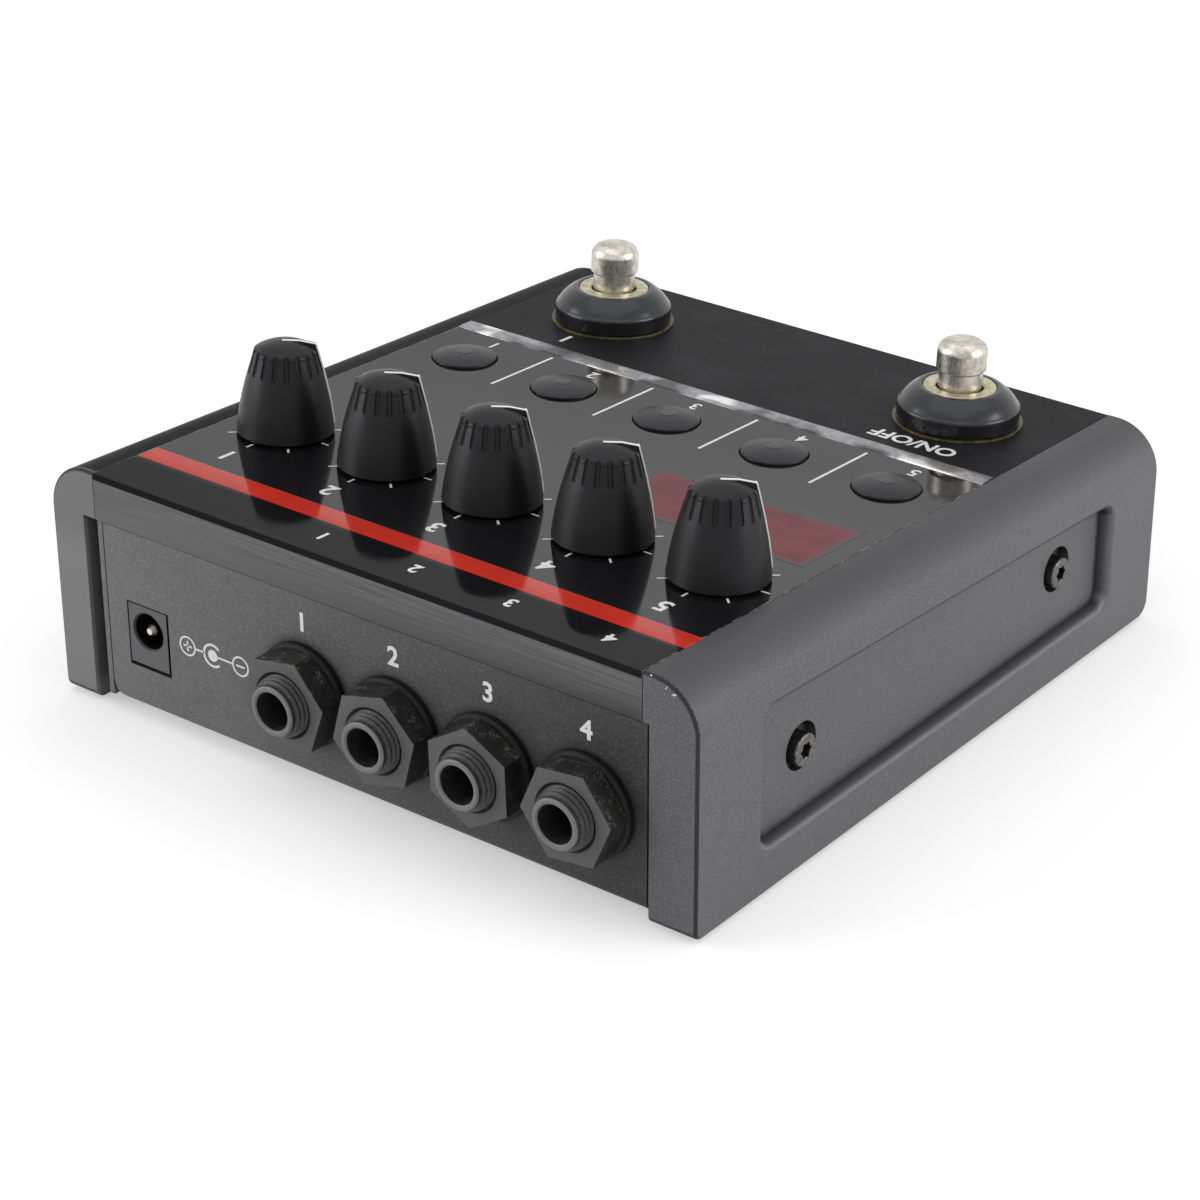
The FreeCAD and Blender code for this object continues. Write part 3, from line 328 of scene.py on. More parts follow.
def chassis_paint():
    """Grainy charcoal, made much paler towards the power inlet by painted light, with painted
    shade in the seams.
    """
    shader = Shader("chassis_paint", Specular_IOR_Level=0.38)
    grain = shader.noise(0.34, 4.0, 0.8, along=(1.8, 1.0, 1.0))
    smear = shader.noise(9.0, 4.0, 0.6, along=(2.0, 1.0, 0.6))
    # Painted light: paler towards +X, the power inlet's side, flecks too.
    across = shader.level(shader.axis((1, 0, 0)), -50 * MM, 55 * MM)
    dark = shader.mix(shader.level(smear, 0.3, 0.7), (0.017, 0.017, 0.018), (0.024, 0.024, 0.025))
    pale = shader.mix(shader.level(smear, 0.3, 0.7), (0.114, 0.114, 0.115), (0.138, 0.138, 0.138))
    base = shader.mix(across, dark, pale)
    fleck = shader.mix(across, (0.068, 0.068, 0.068), (0.215, 0.215, 0.215))
    painted = shader.mix(shader.level(grain, 0.50, 0.68), base, fleck)
    # Painted shade in the seams below the top.
    below = shader.level(shader.axis((0, 0, 1)), 32.8 * MM, 33.6 * MM, 0.85, 0.0)
    seam = shader.times(shader.crevice(1.6), below)
    shader.set("Base Color", shader.mix(seam, painted, (0.008, 0.008, 0.008)))
    shader.set("Roughness", shader.level(grain, 0.3, 0.7, 0.48, 0.62))
    shader.bump(grain, 0.03, 0.8, round_mm=0.15)
    return shader.material


def cover_paint():
    """Matte footswitch zone with faint scuffs, and a streaked strip over the rear panel, paler
    than the top partly by painted light and paler towards +X by painted light.
    """
    shader = Shader("cover_paint")
    grain = shader.noise(0.25, 3.0, 0.6)
    scratches = shader.noise(2.2, 5.0, 0.7, along=(5.0, 1.0, 1.0), distortion=0.6)
    scuffs = shader.level(scratches, 0.62, 0.82)
    patches = shader.level(shader.noise(12.0, 4.0, 0.6), 0.50, 0.72)
    plain = shader.mix(patches, (0.008, 0.008, 0.0095), (0.018, 0.018, 0.020))
    top = shader.mix(scuffs, plain, (0.050, 0.050, 0.049))
    streaks = shader.noise(0.22, 3.0, 0.6, along=(60.0, 1.0, 1.0))
    # Painted light: the strip is paler towards +X.
    across = shader.level(shader.axis((1, 0, 0)), -50 * MM, 50 * MM)
    dull = shader.mix(across, (0.054, 0.054, 0.056), (0.072, 0.072, 0.073))
    strip = shader.mix(shader.level(streaks, 0.3, 0.7), dull, (0.140, 0.141, 0.142))
    # Lower down the strip is plainer, with a stronger painted-light rise towards +X.
    upper = shader.level(shader.axis((0, 0, 1)), 35.2 * MM, 39.5 * MM)
    lower_strip = shader.mix(across, (0.034, 0.034, 0.035), (0.112, 0.112, 0.113))
    strip = shader.mix(upper, lower_strip, strip)
    # The rear-facing strip is paler than the top: partly its own streaked finish, partly painted
    # light.
    rear = shader.facing((0, 1, 0), 0.7, 0.9)
    shader.set("Base Color", shader.mix(rear, top, strip))
    shader.set("Specular IOR Level", shader.level(rear, 0.0, 1.0, 0.065, 0.34))
    shader.set("Specular Tint", COOL)
    shader.set("Roughness", shader.level(grain, 0.3, 0.7, 0.42, 0.54))
    shader.bump(grain, 0.02, 0.5, round_mm=0.2)
    return shader.material


def red_zone(shader):
    """The blank display's red and the share of it that shows, fading at the edges."""
    low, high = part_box("display_window")
    smear = shader.noise(5.0, 5.0, 0.7)
    red = shader.mix(shader.level(smear, 0.35, 0.65), (0.105, 0.006, 0.011), (0.185, 0.010, 0.018))
    red = dusty(shader, red, (0.26, 0.12, 0.12), 0.30, size=3.0)
    soft = 0.55 * MM
    across = shader.band(shader.axis((1, 0, 0)), low.x + soft, high.x - soft, soft)
    along = shader.axis(PANEL_ALONG, PANEL_ORIGIN)
    rise = shader.level(along, WINDOW_FRONT * MM, (WINDOW_FRONT + 2.4) * MM)
    fall = shader.level(along, (WINDOW_REAR - 1.1) * MM, WINDOW_REAR * MM, 1.0, 0.0)
    return red, shader.times(across, shader.times(rise, fall))


def overlay_gloss():
    """Clear glossy face over near-black, with the red stripe and display behind it."""
    shader = Shader("overlay_gloss", Specular_Tint=COOL)
    along = shader.axis(PANEL_ALONG, PANEL_ORIGIN)
    front_shine = shader.level(along, -14.0 * MM, 14.0 * MM, 0.66, 1.0)
    rear_shine = shader.level(along, 54.0 * MM, 58.5 * MM, 1.0, 0.16)
    shine = shader.math("MINIMUM", front_shine, rear_shine)
    across = shader.level(shader.axis((1, 0, 0)), -52 * MM, 52 * MM, 0.42, 0.23)
    shine = shader.times(shine, across)
    red, zone = red_zone(shader)
    red_shine = shader.level(zone, 0.0, 1.0, 1.0, 0.42)
    shader.set("Specular IOR Level", shader.times(shine, red_shine))
    stripe = shader.band(along, STRIPE_FRONT * MM, STRIPE_REAR * MM)
    base = dusty(shader, (0.0065, 0.0065, 0.0075), (0.10, 0.10, 0.095), 0.30)
    faded = shader.level(shader.noise(6.0, 3.0, 0.6), 0.35, 0.7)
    ink = shader.mix(faded, (0.53, 0.029, 0.016), (0.45, 0.027, 0.015))
    printed = shader.mix(zone, shader.mix(stripe, base, ink), red)
    sideways = shader.math("ABSOLUTE", shader.axis((1, 0, 0)))
    border = shader.level(sideways, PANEL_HALF - 0.16 * MM, PANEL_HALF - 0.06 * MM)
    lint = shader.level(shader.noise(0.7, 4.0, 0.8, along=(1.0, 3.0, 1.0)), 0.47, 0.60)
    chipped = shader.times(border, lint)
    shader.set("Base Color", shader.mix(chipped, printed, (0.30, 0.29, 0.27)))
    smear = shader.noise(14.0, 4.0, 0.6)
    shader.set("Roughness", shader.level(smear, 0.35, 0.75, 0.045, 0.13))
    shader.bump(shader.noise(18.0, 2.0, 0.4), 0.02, 0.25, round_mm=0.15)
    return shader.material


def divider_metal():
    """Polished bar with soft dark smears, partly grime and partly painted reflection, and bright
    smears that are painted highlights.
    """
    shader = Shader("divider_metal", Metallic=1.0)
    cloud = shader.noise(8.0, 2.0, 0.5, along=(1.5, 1.0, 1.0))
    # Dark smears: grime and painted reflections of dark things; bright smears: painted highlights.
    dark = shader.level(cloud, 0.50, 0.60)
    bright = shader.level(cloud, 0.34, 0.42, 1.0, 0.0)
    fine = shader.level(shader.noise(1.2, 4.0, 0.7), 0.35, 0.65)
    base = shader.mix(fine, (0.34, 0.34, 0.36), (0.23, 0.23, 0.245))
    darkened = shader.mix(dark, base, (0.060, 0.060, 0.070))
    shader.set("Base Color", shader.mix(bright, darkened, (0.82, 0.82, 0.83)))
    shader.set("Roughness", shader.level(fine, 0.0, 1.0, 0.20, 0.34))
    shader.bump(shader.noise(2.5, 3.0, 0.5), 0.03, 0.4, round_mm=0.3)
    return shader.material


def window_red():
    """Dark red clear plastic under the overlay's film."""
    shader = Shader("window_red", Specular_IOR_Level=0.14)
    red, zone = red_zone(shader)
    shader.set("Base Color", shader.mix(zone, (0.008, 0.006, 0.006), red))
    shader.set("Roughness", shader.level(shader.noise(5.0, 5.0, 0.7), 0.35, 0.75, 0.06, 0.14))
    return shader.material


# The pointer rib's outline: from low to high above the base, its reach shrinks by step
RIB_REACH = 8.3
RIB_OUTLINE = ((1.8, 6.3, 0.70), (6.3, 10.1, 0.85), (10.1, 14.1, 1.05), (14.1, 15.55, 0.40))


def knob_plastic(name, place, pointer):
    """Satin black plastic with dust, a side made paler by painted light, and a white pointer on
    its raised rib.
    """
    shader = Shader(name, Specular_IOR_Level=0.24, Specular_Tint=COOL)
    across = PANEL_ACROSS * math.cos(pointer) + PANEL_ALONG * math.sin(pointer)
    aside = PANEL_UP.cross(across)
    sideways = shader.math("ABSOLUTE", shader.axis(aside, place))
    forward = shader.axis(across, place)
    height = shader.axis(PANEL_UP, place)
    inset = shader.math("SUBTRACT", RIB_REACH * MM, forward)
    for low, high, step in RIB_OUTLINE:
        shrink = shader.level(height, low * MM, high * MM, 0.0, step * MM)
        inset = shader.math("SUBTRACT", inset, shrink)
    rim = shader.level(inset, 0.20 * MM, 0.26 * MM, 1.0, 0.0)
    middle = shader.level(sideways, 0.32 * MM, 0.36 * MM, 1.0, 0.0)
    ahead = shader.level(forward, -0.50 * MM, -0.44 * MM)
    narrow = shader.level(sideways, 0.68 * MM, 0.71 * MM, 1.0, 0.0)
    line = shader.times(shader.math("MAXIMUM", rim, middle), shader.times(ahead, narrow))
    # Painted light: the knob's own side towards +X at rest is paler and brownish.
    pale = shader.own_side(PANEL_ACROSS, 0.35, 1.0)
    dull = shader.mix(pale, (0.007, 0.007, 0.0075), (0.040, 0.036, 0.031))
    base = dusty(shader, dull, (0.15, 0.145, 0.13), 0.45, size=4.0)
    worn = shader.level(shader.noise(0.8, 4.0, 0.7), 0.66, 0.74, 1.0, 0.35)
    pointer_line = shader.times(line, worn)
    shader.set("Base Color", shader.mix(pointer_line, base, (0.82, 0.81, 0.77)))
    grain = shader.noise(0.4, 3.0, 0.6)
    shader.set("Roughness", shader.level(grain, 0.3, 0.7, 0.32, 0.44))
    shader.bump(grain, 0.012, 0.5, round_mm=0.12)
    return shader.material


def plain_plastic(name, base, low, high, dust=0.4, round_mm=0.2, shine=0.5):
    """Moulded plastic or rubber with a little dust; low and high bound its roughness."""
    shader = Shader(name, Specular_IOR_Level=shine, Specular_Tint=COOL)
    shader.set("Base Color", dusty(shader, base, (0.17, 0.165, 0.155), dust, size=5.0))
    grain = shader.noise(0.35, 3.0, 0.6)
    shader.set("Roughness", shader.level(grain, 0.3, 0.7, low, high))
    shader.bump(grain, 0.012, 0.5, round_mm=round_mm)
    return shader.material


def button_plastic():
    """Matte black dome with a painted highlight on its centre pip."""
    shader = Shader("button_plastic", Specular_IOR_Level=0.30, Specular_Tint=COOL)
    # Painted highlight: the top of the dome is paler.
    pip = shader.level(shader.axis(PANEL_UP, PANEL_ORIGIN), PIP_BOTTOM * MM, PIP_TOP * MM)
    base = dusty(shader, (0.008, 0.008, 0.0095), (0.15, 0.15, 0.145), 0.35, size=4.0)
    shader.set("Base Color", shader.mix(pip, base, (0.040, 0.040, 0.043)))
    grain = shader.noise(0.35, 3.0, 0.6)
    shader.set("Roughness", shader.level(grain, 0.3, 0.7, 0.32, 0.42))
    shader.bump(grain, 0.012, 0.5, round_mm=0.12)
    return shader.material


def nut_plastic():
    """Matte black with an outer face made paler by painted light, and brown dust on the upper
    sides.
    """
    shader = Shader("nut_black")
    grain = shader.noise(0.4, 3.0, 0.7)
    # Painted light: the outer face towards +Y is paler than the sides.
    outer = shader.level(shader.axis((0, 1, 0)), REAR + 3.9 * MM, REAR + 4.1 * MM)
    front = shader.times(shader.facing((0, 1, 0), 0.6, 0.9), outer)
    hexagon = shader.level(shader.axis((0, 1, 0)), REAR + 1.2 * MM, REAR + 1.5 * MM)
    base = shader.mix(front, (0.007, 0.007, 0.007), (0.080, 0.080, 0.083))
    upper = shader.facing((0, 0, 1), 0.2, 0.8)
    specks = shader.level(shader.noise(0.5, 4.0, 0.8), 0.50, 0.64)
    patches = shader.level(shader.noise(3.0, 3.0, 0.6), 0.47, 0.62)
    share = shader.times(hexagon, shader.level(upper, 0.0, 1.0, 0.35, 0.95))
    dust = shader.times(shader.times(share, specks), patches)
    shader.set("Specular IOR Level", shader.level(hexagon, 0.0, 1.0, 0.16, 0.42))
    shader.set("Base Color", shader.mix(dust, base, (0.22, 0.20, 0.15)))
    shader.set("Roughness", shader.level(grain, 0.3, 0.7, 0.44, 0.60))
    shader.bump(grain, 0.015, 0.5, round_mm=0.22)
    return shader.material


def jack_plastic():
    """Black barrel with worn thread crests and a paler rim round the mouth."""
    shader = Shader("jack_plastic", Specular_IOR_Level=0.5)
    along = shader.axis((0, 1, 0))
    rim = shader.level(along, REAR + 7.62 * MM, REAR + 7.78 * MM)
    worn = shader.level(shader.noise(0.7, 4.0, 0.8, along=(1.0, 0.5, 1.0)), 0.50, 0.66)
    barrel = shader.mix(worn, (0.013, 0.013, 0.014), (0.060, 0.061, 0.064))
    shader.set("Base Color", shader.mix(rim, barrel, (0.150, 0.150, 0.156)))
    grain = shader.noise(0.35, 3.0, 0.6)
    shader.set("Roughness", shader.level(grain, 0.3, 0.7, 0.38, 0.55))
    shader.bump(grain, 0.015, 0.5, round_mm=0.15)
    return shader.material


def inlet_plastic():
    """Grey face round a black hole."""
    shader = Shader("inlet_plastic")
    outer = shader.level(shader.axis((0, 1, 0)), REAR - 1.0 * MM, REAR - 0.8 * MM)
    face = shader.times(shader.facing((0, 1, 0), 0.6, 0.9), outer)
    shader.set("Specular IOR Level", shader.level(face, 0.0, 1.0, 0.03, 0.45))
    grain = shader.noise(0.5, 3.0, 0.6)
    grey = shader.mix(shader.level(grain, 0.35, 0.7), (0.075, 0.076, 0.082), (0.095, 0.096, 0.102))
    shader.set("Base Color", shader.mix(face, (0.006, 0.006, 0.006), grey))
    shader.set("Roughness", shader.level(grain, 0.3, 0.7, 0.36, 0.46))
    shader.bump(grain, 0.01, 0.4, round_mm=0.12)
    return shader.material


def plated(name, bright, dull, low, high, round_mm=0.2, patch_mm=1.6):
    """Metal with worn patches and fine scratches; low and high bound its roughness."""
    shader = Shader(name, Metallic=1.0)
    wear = shader.level(shader.noise(patch_mm, 5.0, 0.7), 0.42, 0.68)
    shader.set("Base Color", shader.mix(wear, bright, dull))
    scratch = shader.noise(0.16, 3.0, 0.6, along=(1.0, 1.0, 7.0))
    shader.set("Roughness", shader.level(scratch, 0.3, 0.7, low, high))
    shader.bump(scratch, 0.008, 0.5, round_mm=round_mm)
    return shader.material


def pin_nickel():
    """Plated pin, bright at its tip and much darker and browner along its side."""
    shader = Shader("pin_nickel", Metallic=1.0)
    tip = shader.facing((0, 1, 0), 0.35, 0.85, "Normal")
    wear = shader.level(shader.noise(0.8, 4.0, 0.7), 0.40, 0.66)
    bright = shader.mix(wear, (0.78, 0.73, 0.66), (0.56, 0.50, 0.44))
    shader.set("Base Color", shader.mix(tip, (0.16, 0.14, 0.12), bright))
    shader.set("Roughness", shader.level(wear, 0.0, 1.0, 0.32, 0.46))
    shader.bump(wear, 0.01, 0.4, round_mm=0.12)
    return shader.material


def printed_white():
    """Slightly worn white ink."""
    shader = Shader("printed_white", Specular_IOR_Level=0.5)
    worn = shader.level(shader.noise(0.5, 4.0, 0.7), 0.3, 0.75)
    shader.set("Base Color", shader.mix(worn, (0.78, 0.78, 0.77), (0.62, 0.62, 0.60)))
    shader.set("Roughness", shader.level(worn, 0.0, 1.0, 0.14, 0.25))
    return shader.material


def board_green():
    """Circuit board green with faint tracks."""
    shader = Shader("board_green", Specular_IOR_Level=0.5)
    tracks = shader.level(shader.cells(2.4), 0.25, 0.32)
    shader.set("Base Color", shader.mix(tracks, (0.02, 0.12, 0.05), (0.012, 0.08, 0.035)))
    shader.set("Roughness", shader.level(tracks, 0.0, 1.0, 0.30, 0.42))
    shader.bump(tracks, 0.02, 0.5)
    return shader.material


def paint_nodes():
    """Give every CAD node its material."""
    rest = math.radians(KNOB_REST)
    shared = {
        "rail": rail_paint(),
        "chassis": chassis_paint(),
        "cover": cover_paint(),
        "overlay": overlay_gloss(),
        "divider": divider_metal(),
        "window": window_red(),
        "button": button_plastic(),
        "collar": plain_plastic(
            "collar_plastic", (0.010, 0.010, 0.011), 0.16, 0.28, dust=0.30, round_mm=0.35
        ),
        "jack": jack_plastic(),
        "nut": nut_plastic(),
        "inlet": inlet_plastic(),
        "module": plain_plastic("module_black", (0.02, 0.02, 0.02), 0.5, 0.6),
        "foot": plain_plastic("foot_rubber", (0.02, 0.02, 0.02), 0.7, 0.85, dust=0.8),
        "switch": plain_plastic("switch_body", (0.03, 0.06, 0.20), 0.4, 0.5),
        "cable": plain_plastic("cable_grey", (0.30, 0.30, 0.32), 0.4, 0.5),
        "cap": plated("cap_metal", (0.66, 0.62, 0.56), (0.36, 0.33, 0.28), 0.22, 0.42),
        "washer": plated("washer_brass", (0.15, 0.125, 0.08), (0.035, 0.028, 0.018), 0.38, 0.58),
        "sleeve": plated(
            "sleeve_brass", (0.58, 0.53, 0.39), (0.32, 0.28, 0.18), 0.30, 0.48, round_mm=0.12
        ),
        "screw": plated(
            "screw_steel", (0.17, 0.167, 0.158), (0.045, 0.045, 0.043), 0.30, 0.48, patch_mm=0.7
        ),
        "pin": pin_nickel(),
        "steel": plated(
            "bright_steel", (0.62, 0.62, 0.63), (0.40, 0.40, 0.41), 0.24, 0.42, round_mm=0.12
        ),
        "lug": plated("lug_metal", (0.66, 0.62, 0.52), (0.45, 0.42, 0.34), 0.30, 0.45),
        "board": board_green(),
    }
    # Looked up by a node's name, then by its name without the number; the rest are steel
    finish = {
        "left_rail": "rail", "right_rail": "rail", "chassis": "chassis", "side_walls": "chassis",
        "rear_panel": "chassis", "top_cover": "cover",
        "overlay_panel": "overlay", "divider_strip": "divider", "display_window": "window",
        "button": "button", "footswitch_collars": "collar", "jack_nuts": "nut",
        "jack_terminals": "lug", "jack": "jack", "dc_inlet": "inlet", "display_module": "module",
        "rail_screws": "screw", "footswitch_sleeve": "sleeve", "dc_pin": "pin",
        "rubber_feet": "foot", "footswitch_body": "switch", "ribbon_cable": "cable",
        "footswitch_plunger": "cap", "footswitch_washers": "washer", "footswitch_terminals": "lug",
        "board_standoffs": "lug", "main_board": "board", "control_board": "board",
        "button_switches": "module",
    }
    for name, node in NODES.items():
        stem = name.rstrip("0123456789").rstrip("_")
        if stem == "knob":
            count = int(name[-1])
            material = knob_plastic("knob_plastic_%d" % count, KNOB_PLACES[count - 1], rest)
        else:
            material = shared[finish.get(name, finish.get(stem, "steel"))]
        node.data.materials.clear()
        node.data.materials.append(material)


def add_object(name, data):
    """New object in the scene that shows a mesh, lamp or camera."""
    piece = bpy.data.objects.new(name, data)
    bpy.context.scene.collection.objects.link(piece)
    return piece


def ride_case(piece):
    """Fix a piece to the case."""
    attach(piece, "case")
    return piece


def mesh_piece(name, corners, faces, material, matrix):
    """Piece on the case, from corners in millimetres."""
    mesh = bpy.data.meshes.new(name)
    mesh.from_pydata([Vector(corner) * MM for corner in corners], [], faces)
    mesh.transform(matrix)
    mesh.materials.append(material)
    return ride_case(add_object(name, mesh))


# Printed marks lie this far above their surface, and are this thick, in millimetres
PRINT_LIFT = 0.02
PRINT_THICK = 0.02


def on_circle(centre, radius, angle):
    """Point on a circle, at an angle in radians."""
    return (centre[0] + radius * math.cos(angle), centre[1] + radius * math.sin(angle))


class Print:
    """Flat marks, drawn in millimetres and gathered into one thin mesh."""

    def __init__(self):
        self.corners = []
        self.faces = []

    def plate(self, points):
        """Thin plate under a convex outline given in order."""
        first = len(self.corners)
        count = len(points)
        for lift in (PRINT_LIFT, PRINT_LIFT + PRINT_THICK):
            self.corners += [(x, y, lift) for x, y in points]
        self.faces.append([first + count + n for n in range(count)])
        self.faces.append([first + n for n in reversed(range(count))])
        for n in range(count):
            after = (n + 1) % count
            self.faces.append([first + n, first + after, first + count + after, first + count + n])

    def bar(self, start, stop, width):
        """Straight line from start to stop."""
        start, stop = Vector(start), Vector(stop)
        run = (stop - start).normalized()
        side = Vector((-run.y, run.x)) * width / 2
        self.plate([tuple(p) for p in (start - side, stop - side, stop + side, start + side)])

    def ring(self, centre, radius, width, start=0.0, stop=360.0, steps=40):
        """Line along a circle, or along its arc from start to stop in degrees."""
        for n in range(steps):
            angles = [math.radians(start + (stop - start) * (n + k) / steps) for k in (0, 1)]
            inner = [on_circle(centre, radius - width / 2, angle) for angle in angles]
            outer = [on_circle(centre, radius + width / 2, angle) for angle in angles]
            self.plate([inner[0], outer[0], outer[1], inner[1]])

    def disc(self, centre, radius, steps=32):
        """Filled circle."""
        angles = [math.tau * n / steps for n in range(steps)]
        self.plate([on_circle(centre, radius, angle) for angle in angles])

    def finish(self, name, material, matrix, slot):
        return mesh_piece(name, self.corners, self.faces, material, matrix)


def number(name, text, size, material, matrix, heavy):
    """Plain printed number or word in the built-in typeface, heavier by heavy."""
    curve = bpy.data.curves.new(name, "FONT")
    curve.body = text
    curve.size = size * MM
    curve.align_x = "CENTER"
    curve.align_y = "CENTER"
    curve.extrude = PRINT_THICK / 2 * MM
    curve.offset = heavy * MM
    curve.resolution_u = 6
    holder = add_object(name + "_text", curve)
    graph = bpy.context.evaluated_depsgraph_get()
    mesh = bpy.data.meshes.new_from_object(holder.evaluated_get(graph))
    bpy.data.objects.remove(holder)
    mesh.name = name
    middle = (PRINT_LIFT + PRINT_THICK / 2) * MM
    mesh.transform(matrix @ Matrix.Translation((0, 0, middle)))
    mesh.materials.clear()
    mesh.materials.append(material)
    return ride_case(add_object(name, mesh))


def middle_x(name):
    """Middle of a CAD node across the part, in millimetres."""
    low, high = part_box(name)
    return (low.x + high.x) / 2 / MM


def panel_number(name, text, x, style, white):
    """Number or word at x on the panel, in one of the styles listed above."""
    line, size, heavy = style
    number(name, text, size, white, panel_matrix(x, line), heavy)


def panel_prints(white):
    """Ticks round the knobs, separators between the buttons, and plain numbers."""
    marks = Print()
    columns = [place.x / MM for place in KNOB_PLACES]
    for x in columns:
        middle = Vector((x, KNOB_LINE))
        for step in range(TICK_COUNT):
            angle = math.radians(KNOB_REST - TICK_TURN * step)
            ray = Vector((math.cos(angle), math.sin(angle)))
            marks.bar(middle + ray * TICK_INNER, middle + ray * TICK_OUTER, TICK_WIDTH)
    for left, right in zip(columns, columns[1:]):
        x = (left + right) / 2 + SEPARATOR_SHIFT
        marks.bar((x, SEPARATOR_FRONT), (x, SEPARATOR_REAR), SEPARATOR_WIDTH)
    marks.finish("panel_marks", white, panel_matrix(0, 0), "overlay_gloss")
    for count, x in enumerate(columns, start=1):
        panel_number("knob_number_%d" % count, str(count), x, KNOB_NUMBERS, white)
        panel_number("button_number_%d" % count, str(count), x, BUTTON_NUMBERS, white)
    for count in (1, 2, 3, 4):
        x = middle_x("jack_%d" % count)
        panel_number("socket_top_number_%d" % count, str(count), x, SOCKET_TOP_NUMBERS, white)
    for count, text in ((1, "1"), (2, "ON/OFF")):
        x = middle_x("footswitch_sleeve_%d" % count)
        name = "footswitch_mark_%d" % count
        panel_number(name, text, x, FOOTSWITCH_MARKS, white)


FILM_MARGIN = 0.5
FILM_LIFT = 0.005 - PRINT_LIFT  # brings the film down to 0.005 mm above the panel


def window_film(gloss):
    """Clear film of the overlay that runs on over the window and its seam."""
    low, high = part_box("display_window")
    left, right = low.x / MM - FILM_MARGIN, high.x / MM + FILM_MARGIN
    front, rear = WINDOW_FRONT - FILM_MARGIN, WINDOW_REAR + FILM_MARGIN
    film = Print()
    film.plate([(left, front), (right, front), (right, rear), (left, rear)])
    film.finish("window_film", gloss, panel_matrix(0, 0, FILM_LIFT), "overlay_gloss")


def footswitch_springs():
    """Return springs, copied from the CAD springs onto the case."""
    for count in (1, 2):
        node = NODES["footswitch_spring_%d" % count]
        piece = ride_case(add_object("return_spring_%d" % count, node.data.copy()))
        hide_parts(node.name)
        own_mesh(piece)


def rear_prints(white):
    """Numbers over the sockets and the polarity symbol beside the power inlet."""
    height, size, heavy = SOCKET_NUMBERS
    for count in (1, 2, 3, 4):
        place = rear_matrix(middle_x("jack_%d" % count), height)
        number("socket_number_%d" % count, str(count), size, white, place, heavy)

    # Two ringed signs on either side of a disc in an open ring, joined by lines
    marks = Print()
    level = 17.7
    plus, middle, minus = -36.5, -30.9, -24.8
    ring, line, sign = 1.65, 0.34, 0.95
    link = 0.36
    for x in (plus, minus):
        marks.ring((x, level), ring, line)
        marks.bar((x - sign, level), (x + sign, level), line)
    marks.bar((plus, level - sign), (plus, level + sign), line)
    marks.disc((middle, level), 1.05)
    marks.ring((middle, level), 1.95, 0.44, 45.0, 315.0)
    marks.bar((plus + 1.8, level), (middle - 1.9, level), link)
    marks.bar((middle + 1.0, level), (minus - 1.8, level), link)
    marks.finish("polarity_marks", white, rear_matrix(0, 0), "chassis_paint")


# Floor, light and camera; lengths in metres up to the camera's own

FLOOR_GREY = 0.69
FLOOR_GLOW = 0.41
FLOOR_HALF = 4.0
FLOOR_LEVEL = -0.0001
WORLD_LIGHT = 0.60


def seen_by(tree, *rays):
    """1 for the named kinds of ray from the camera, 0 for other light."""
    path = tree.nodes.new("ShaderNodeLightPath")
    total = path.outputs[rays[0]]
    for ray in rays[1:]:
        either = tree.nodes.new("ShaderNodeMath")
        either.operation = "MAXIMUM"
        tree.links.new(total, either.inputs[0])
        tree.links.new(path.outputs[ray], either.inputs[1])
        total = either.outputs[0]
    return total


def stage_material():
    """Pale floor that the camera sees as white where the light falls on it."""
    material = bpy.data.materials.new("pale_floor")
    material.use_nodes = True
    tree = material.node_tree
    tree.nodes.clear()
    output = tree.nodes.new("ShaderNodeOutputMaterial")
    diffuse = tree.nodes.new("ShaderNodeBsdfDiffuse")
    diffuse.inputs["Color"].default_value = (FLOOR_GREY, FLOOR_GREY, FLOOR_GREY, 1)
    glow = tree.nodes.new("ShaderNodeEmission")
    share = tree.nodes.new("ShaderNodeMath")
    share.operation = "MULTIPLY"
    share.inputs[1].default_value = FLOOR_GLOW
    add = tree.nodes.new("ShaderNodeAddShader")
    tree.links.new(seen_by(tree, "Is Camera Ray", "Is Glossy Ray"), share.inputs[0])
    tree.links.new(share.outputs[0], glow.inputs["Strength"])
    tree.links.new(diffuse.outputs[0], add.inputs[0])
    tree.links.new(glow.outputs[0], add.inputs[1])
    tree.links.new(add.outputs[0], output.inputs["Surface"])
    return material


def build_stage():
    """Wide floor just under the feet."""
    half = FLOOR_HALF
    mesh = bpy.data.meshes.new("floor")
    corners = [(-half, -half, 0), (half, -half, 0), (half, half, 0), (-half, half, 0)]
    mesh.from_pydata(corners, [], [[0, 1, 2, 3]])
    mesh.materials.append(stage_material())
    floor = add_object("floor", mesh)
    floor.location.z = FLOOR_LEVEL


def build_world():
    """Soft even light, seen as white by the camera and in reflections."""
    world = bpy.data.worlds.new("studio")
    bpy.context.scene.world = world
    world.use_nodes = True
    tree = world.node_tree
    tree.nodes.clear()
    output = tree.nodes.new("ShaderNodeOutputWorld")
    grounds = []
    for strength in (WORLD_LIGHT, 1.0):
        ground = tree.nodes.new("ShaderNodeBackground")
        ground.inputs["Color"].default_value = (1, 1, 1, 1)
        ground.inputs["Strength"].default_value = strength
        grounds.append(ground)
    mix = tree.nodes.new("ShaderNodeMixShader")
    seen = seen_by(tree, "Is Camera Ray", "Is Glossy Ray", "Is Transmission Ray")
    tree.links.new(seen, mix.inputs["Fac"])
    tree.links.new(grounds[0].outputs[0], mix.inputs[1])
    tree.links.new(grounds[1].outputs[0], mix.inputs[2])
    tree.links.new(mix.outputs[0], output.inputs["Surface"])


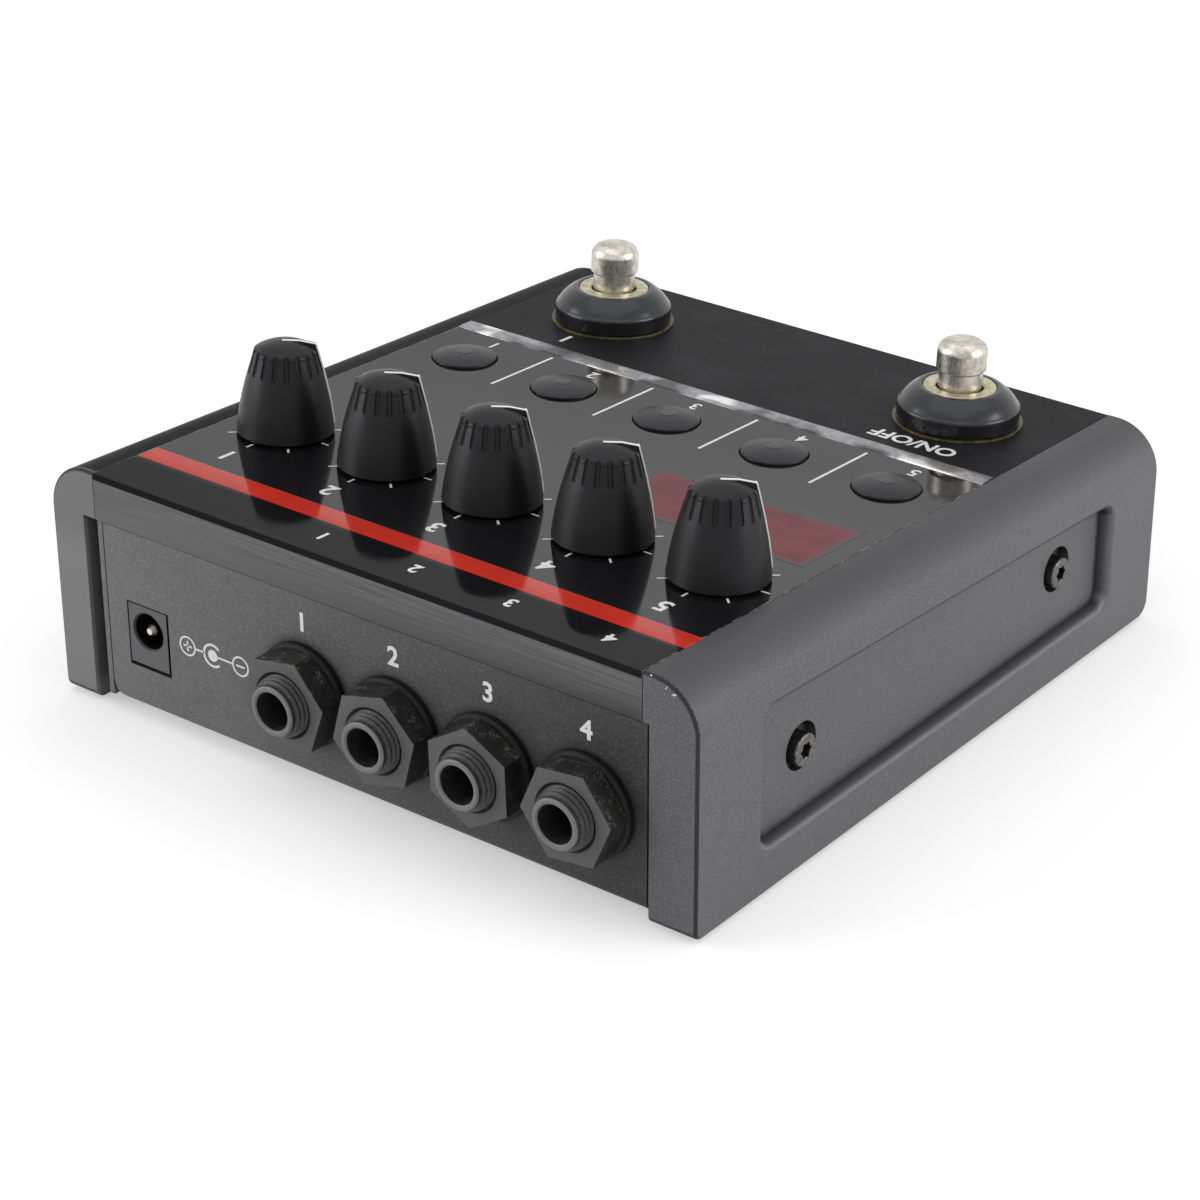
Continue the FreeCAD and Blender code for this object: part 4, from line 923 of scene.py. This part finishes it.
def soft_lamp(name, place, target, size, power):
    """Square lamp of a given side that faces a target."""
    lamp = bpy.data.lights.new(name, "AREA")
    lamp.shape = "RECTANGLE"
    lamp.size = lamp.size_y = size
    lamp.energy = power
    holder = add_object(name, lamp)
    holder.location = place
    holder.rotation_euler = (Vector(target) - Vector(place)).to_track_quat("-Z", "Y").to_euler()


def build_lamps():
    """One large lamp overhead and one on each side."""
    soft_lamp("overhead", (0.0, 0.0, 1.2), (0, 0, 0), 1.4, 3.5)
    soft_lamp("right_side", (1.0, 0.85, 0.45), (0, 0, 0.02), 0.8, 8.0)
    soft_lamp("left_side", (-1.3, -0.45, 0.50), (0, 0, 0.02), 0.8, 9.0)


# The photograph's camera: angles in degrees, lengths in millimetres
CAMERA_AZIMUTH, CAMERA_ELEVATION = 217.666, 27.131
CAMERA_DISTANCE = 559.06
CAMERA_TARGET = Vector((-7.985, 11.373, 18.707))
CAMERA_ROLL = -0.135
CAMERA_LENS = 100.88
SENSOR_WIDTH = 36.0


def build_camera():
    """Camera placed as the photograph's was."""
    azimuth, elevation = math.radians(CAMERA_AZIMUTH), math.radians(CAMERA_ELEVATION)
    level = math.cos(elevation)
    back = Vector((math.sin(azimuth) * level, -math.cos(azimuth) * level, math.sin(elevation)))
    right = (-back).cross(Vector((0, 0, 1))).normalized()
    up = right.cross(-back)
    roll = math.radians(CAMERA_ROLL)
    across = right * math.cos(roll) + up * math.sin(roll)
    upright = up * math.cos(roll) - right * math.sin(roll)
    data = bpy.data.cameras.new("camera")
    data.sensor_width = SENSOR_WIDTH
    data.lens = CAMERA_LENS
    data.clip_start = 0.01
    camera = add_object("camera", data)
    turn = Matrix((across, upright, back)).transposed().to_4x4()
    place = (CAMERA_TARGET + back * CAMERA_DISTANCE) * MM
    camera.matrix_world = Matrix.Translation(place) @ turn
    bpy.context.scene.camera = camera


paint_nodes()
white_print = printed_white()
panel_prints(white_print)
window_film(NODES["overlay_panel"].data.materials[0])
rear_prints(white_print)
footswitch_springs()
build_stage()
build_world()
build_lamps()
build_camera()
bpy.context.scene.view_settings.view_transform = "Standard"
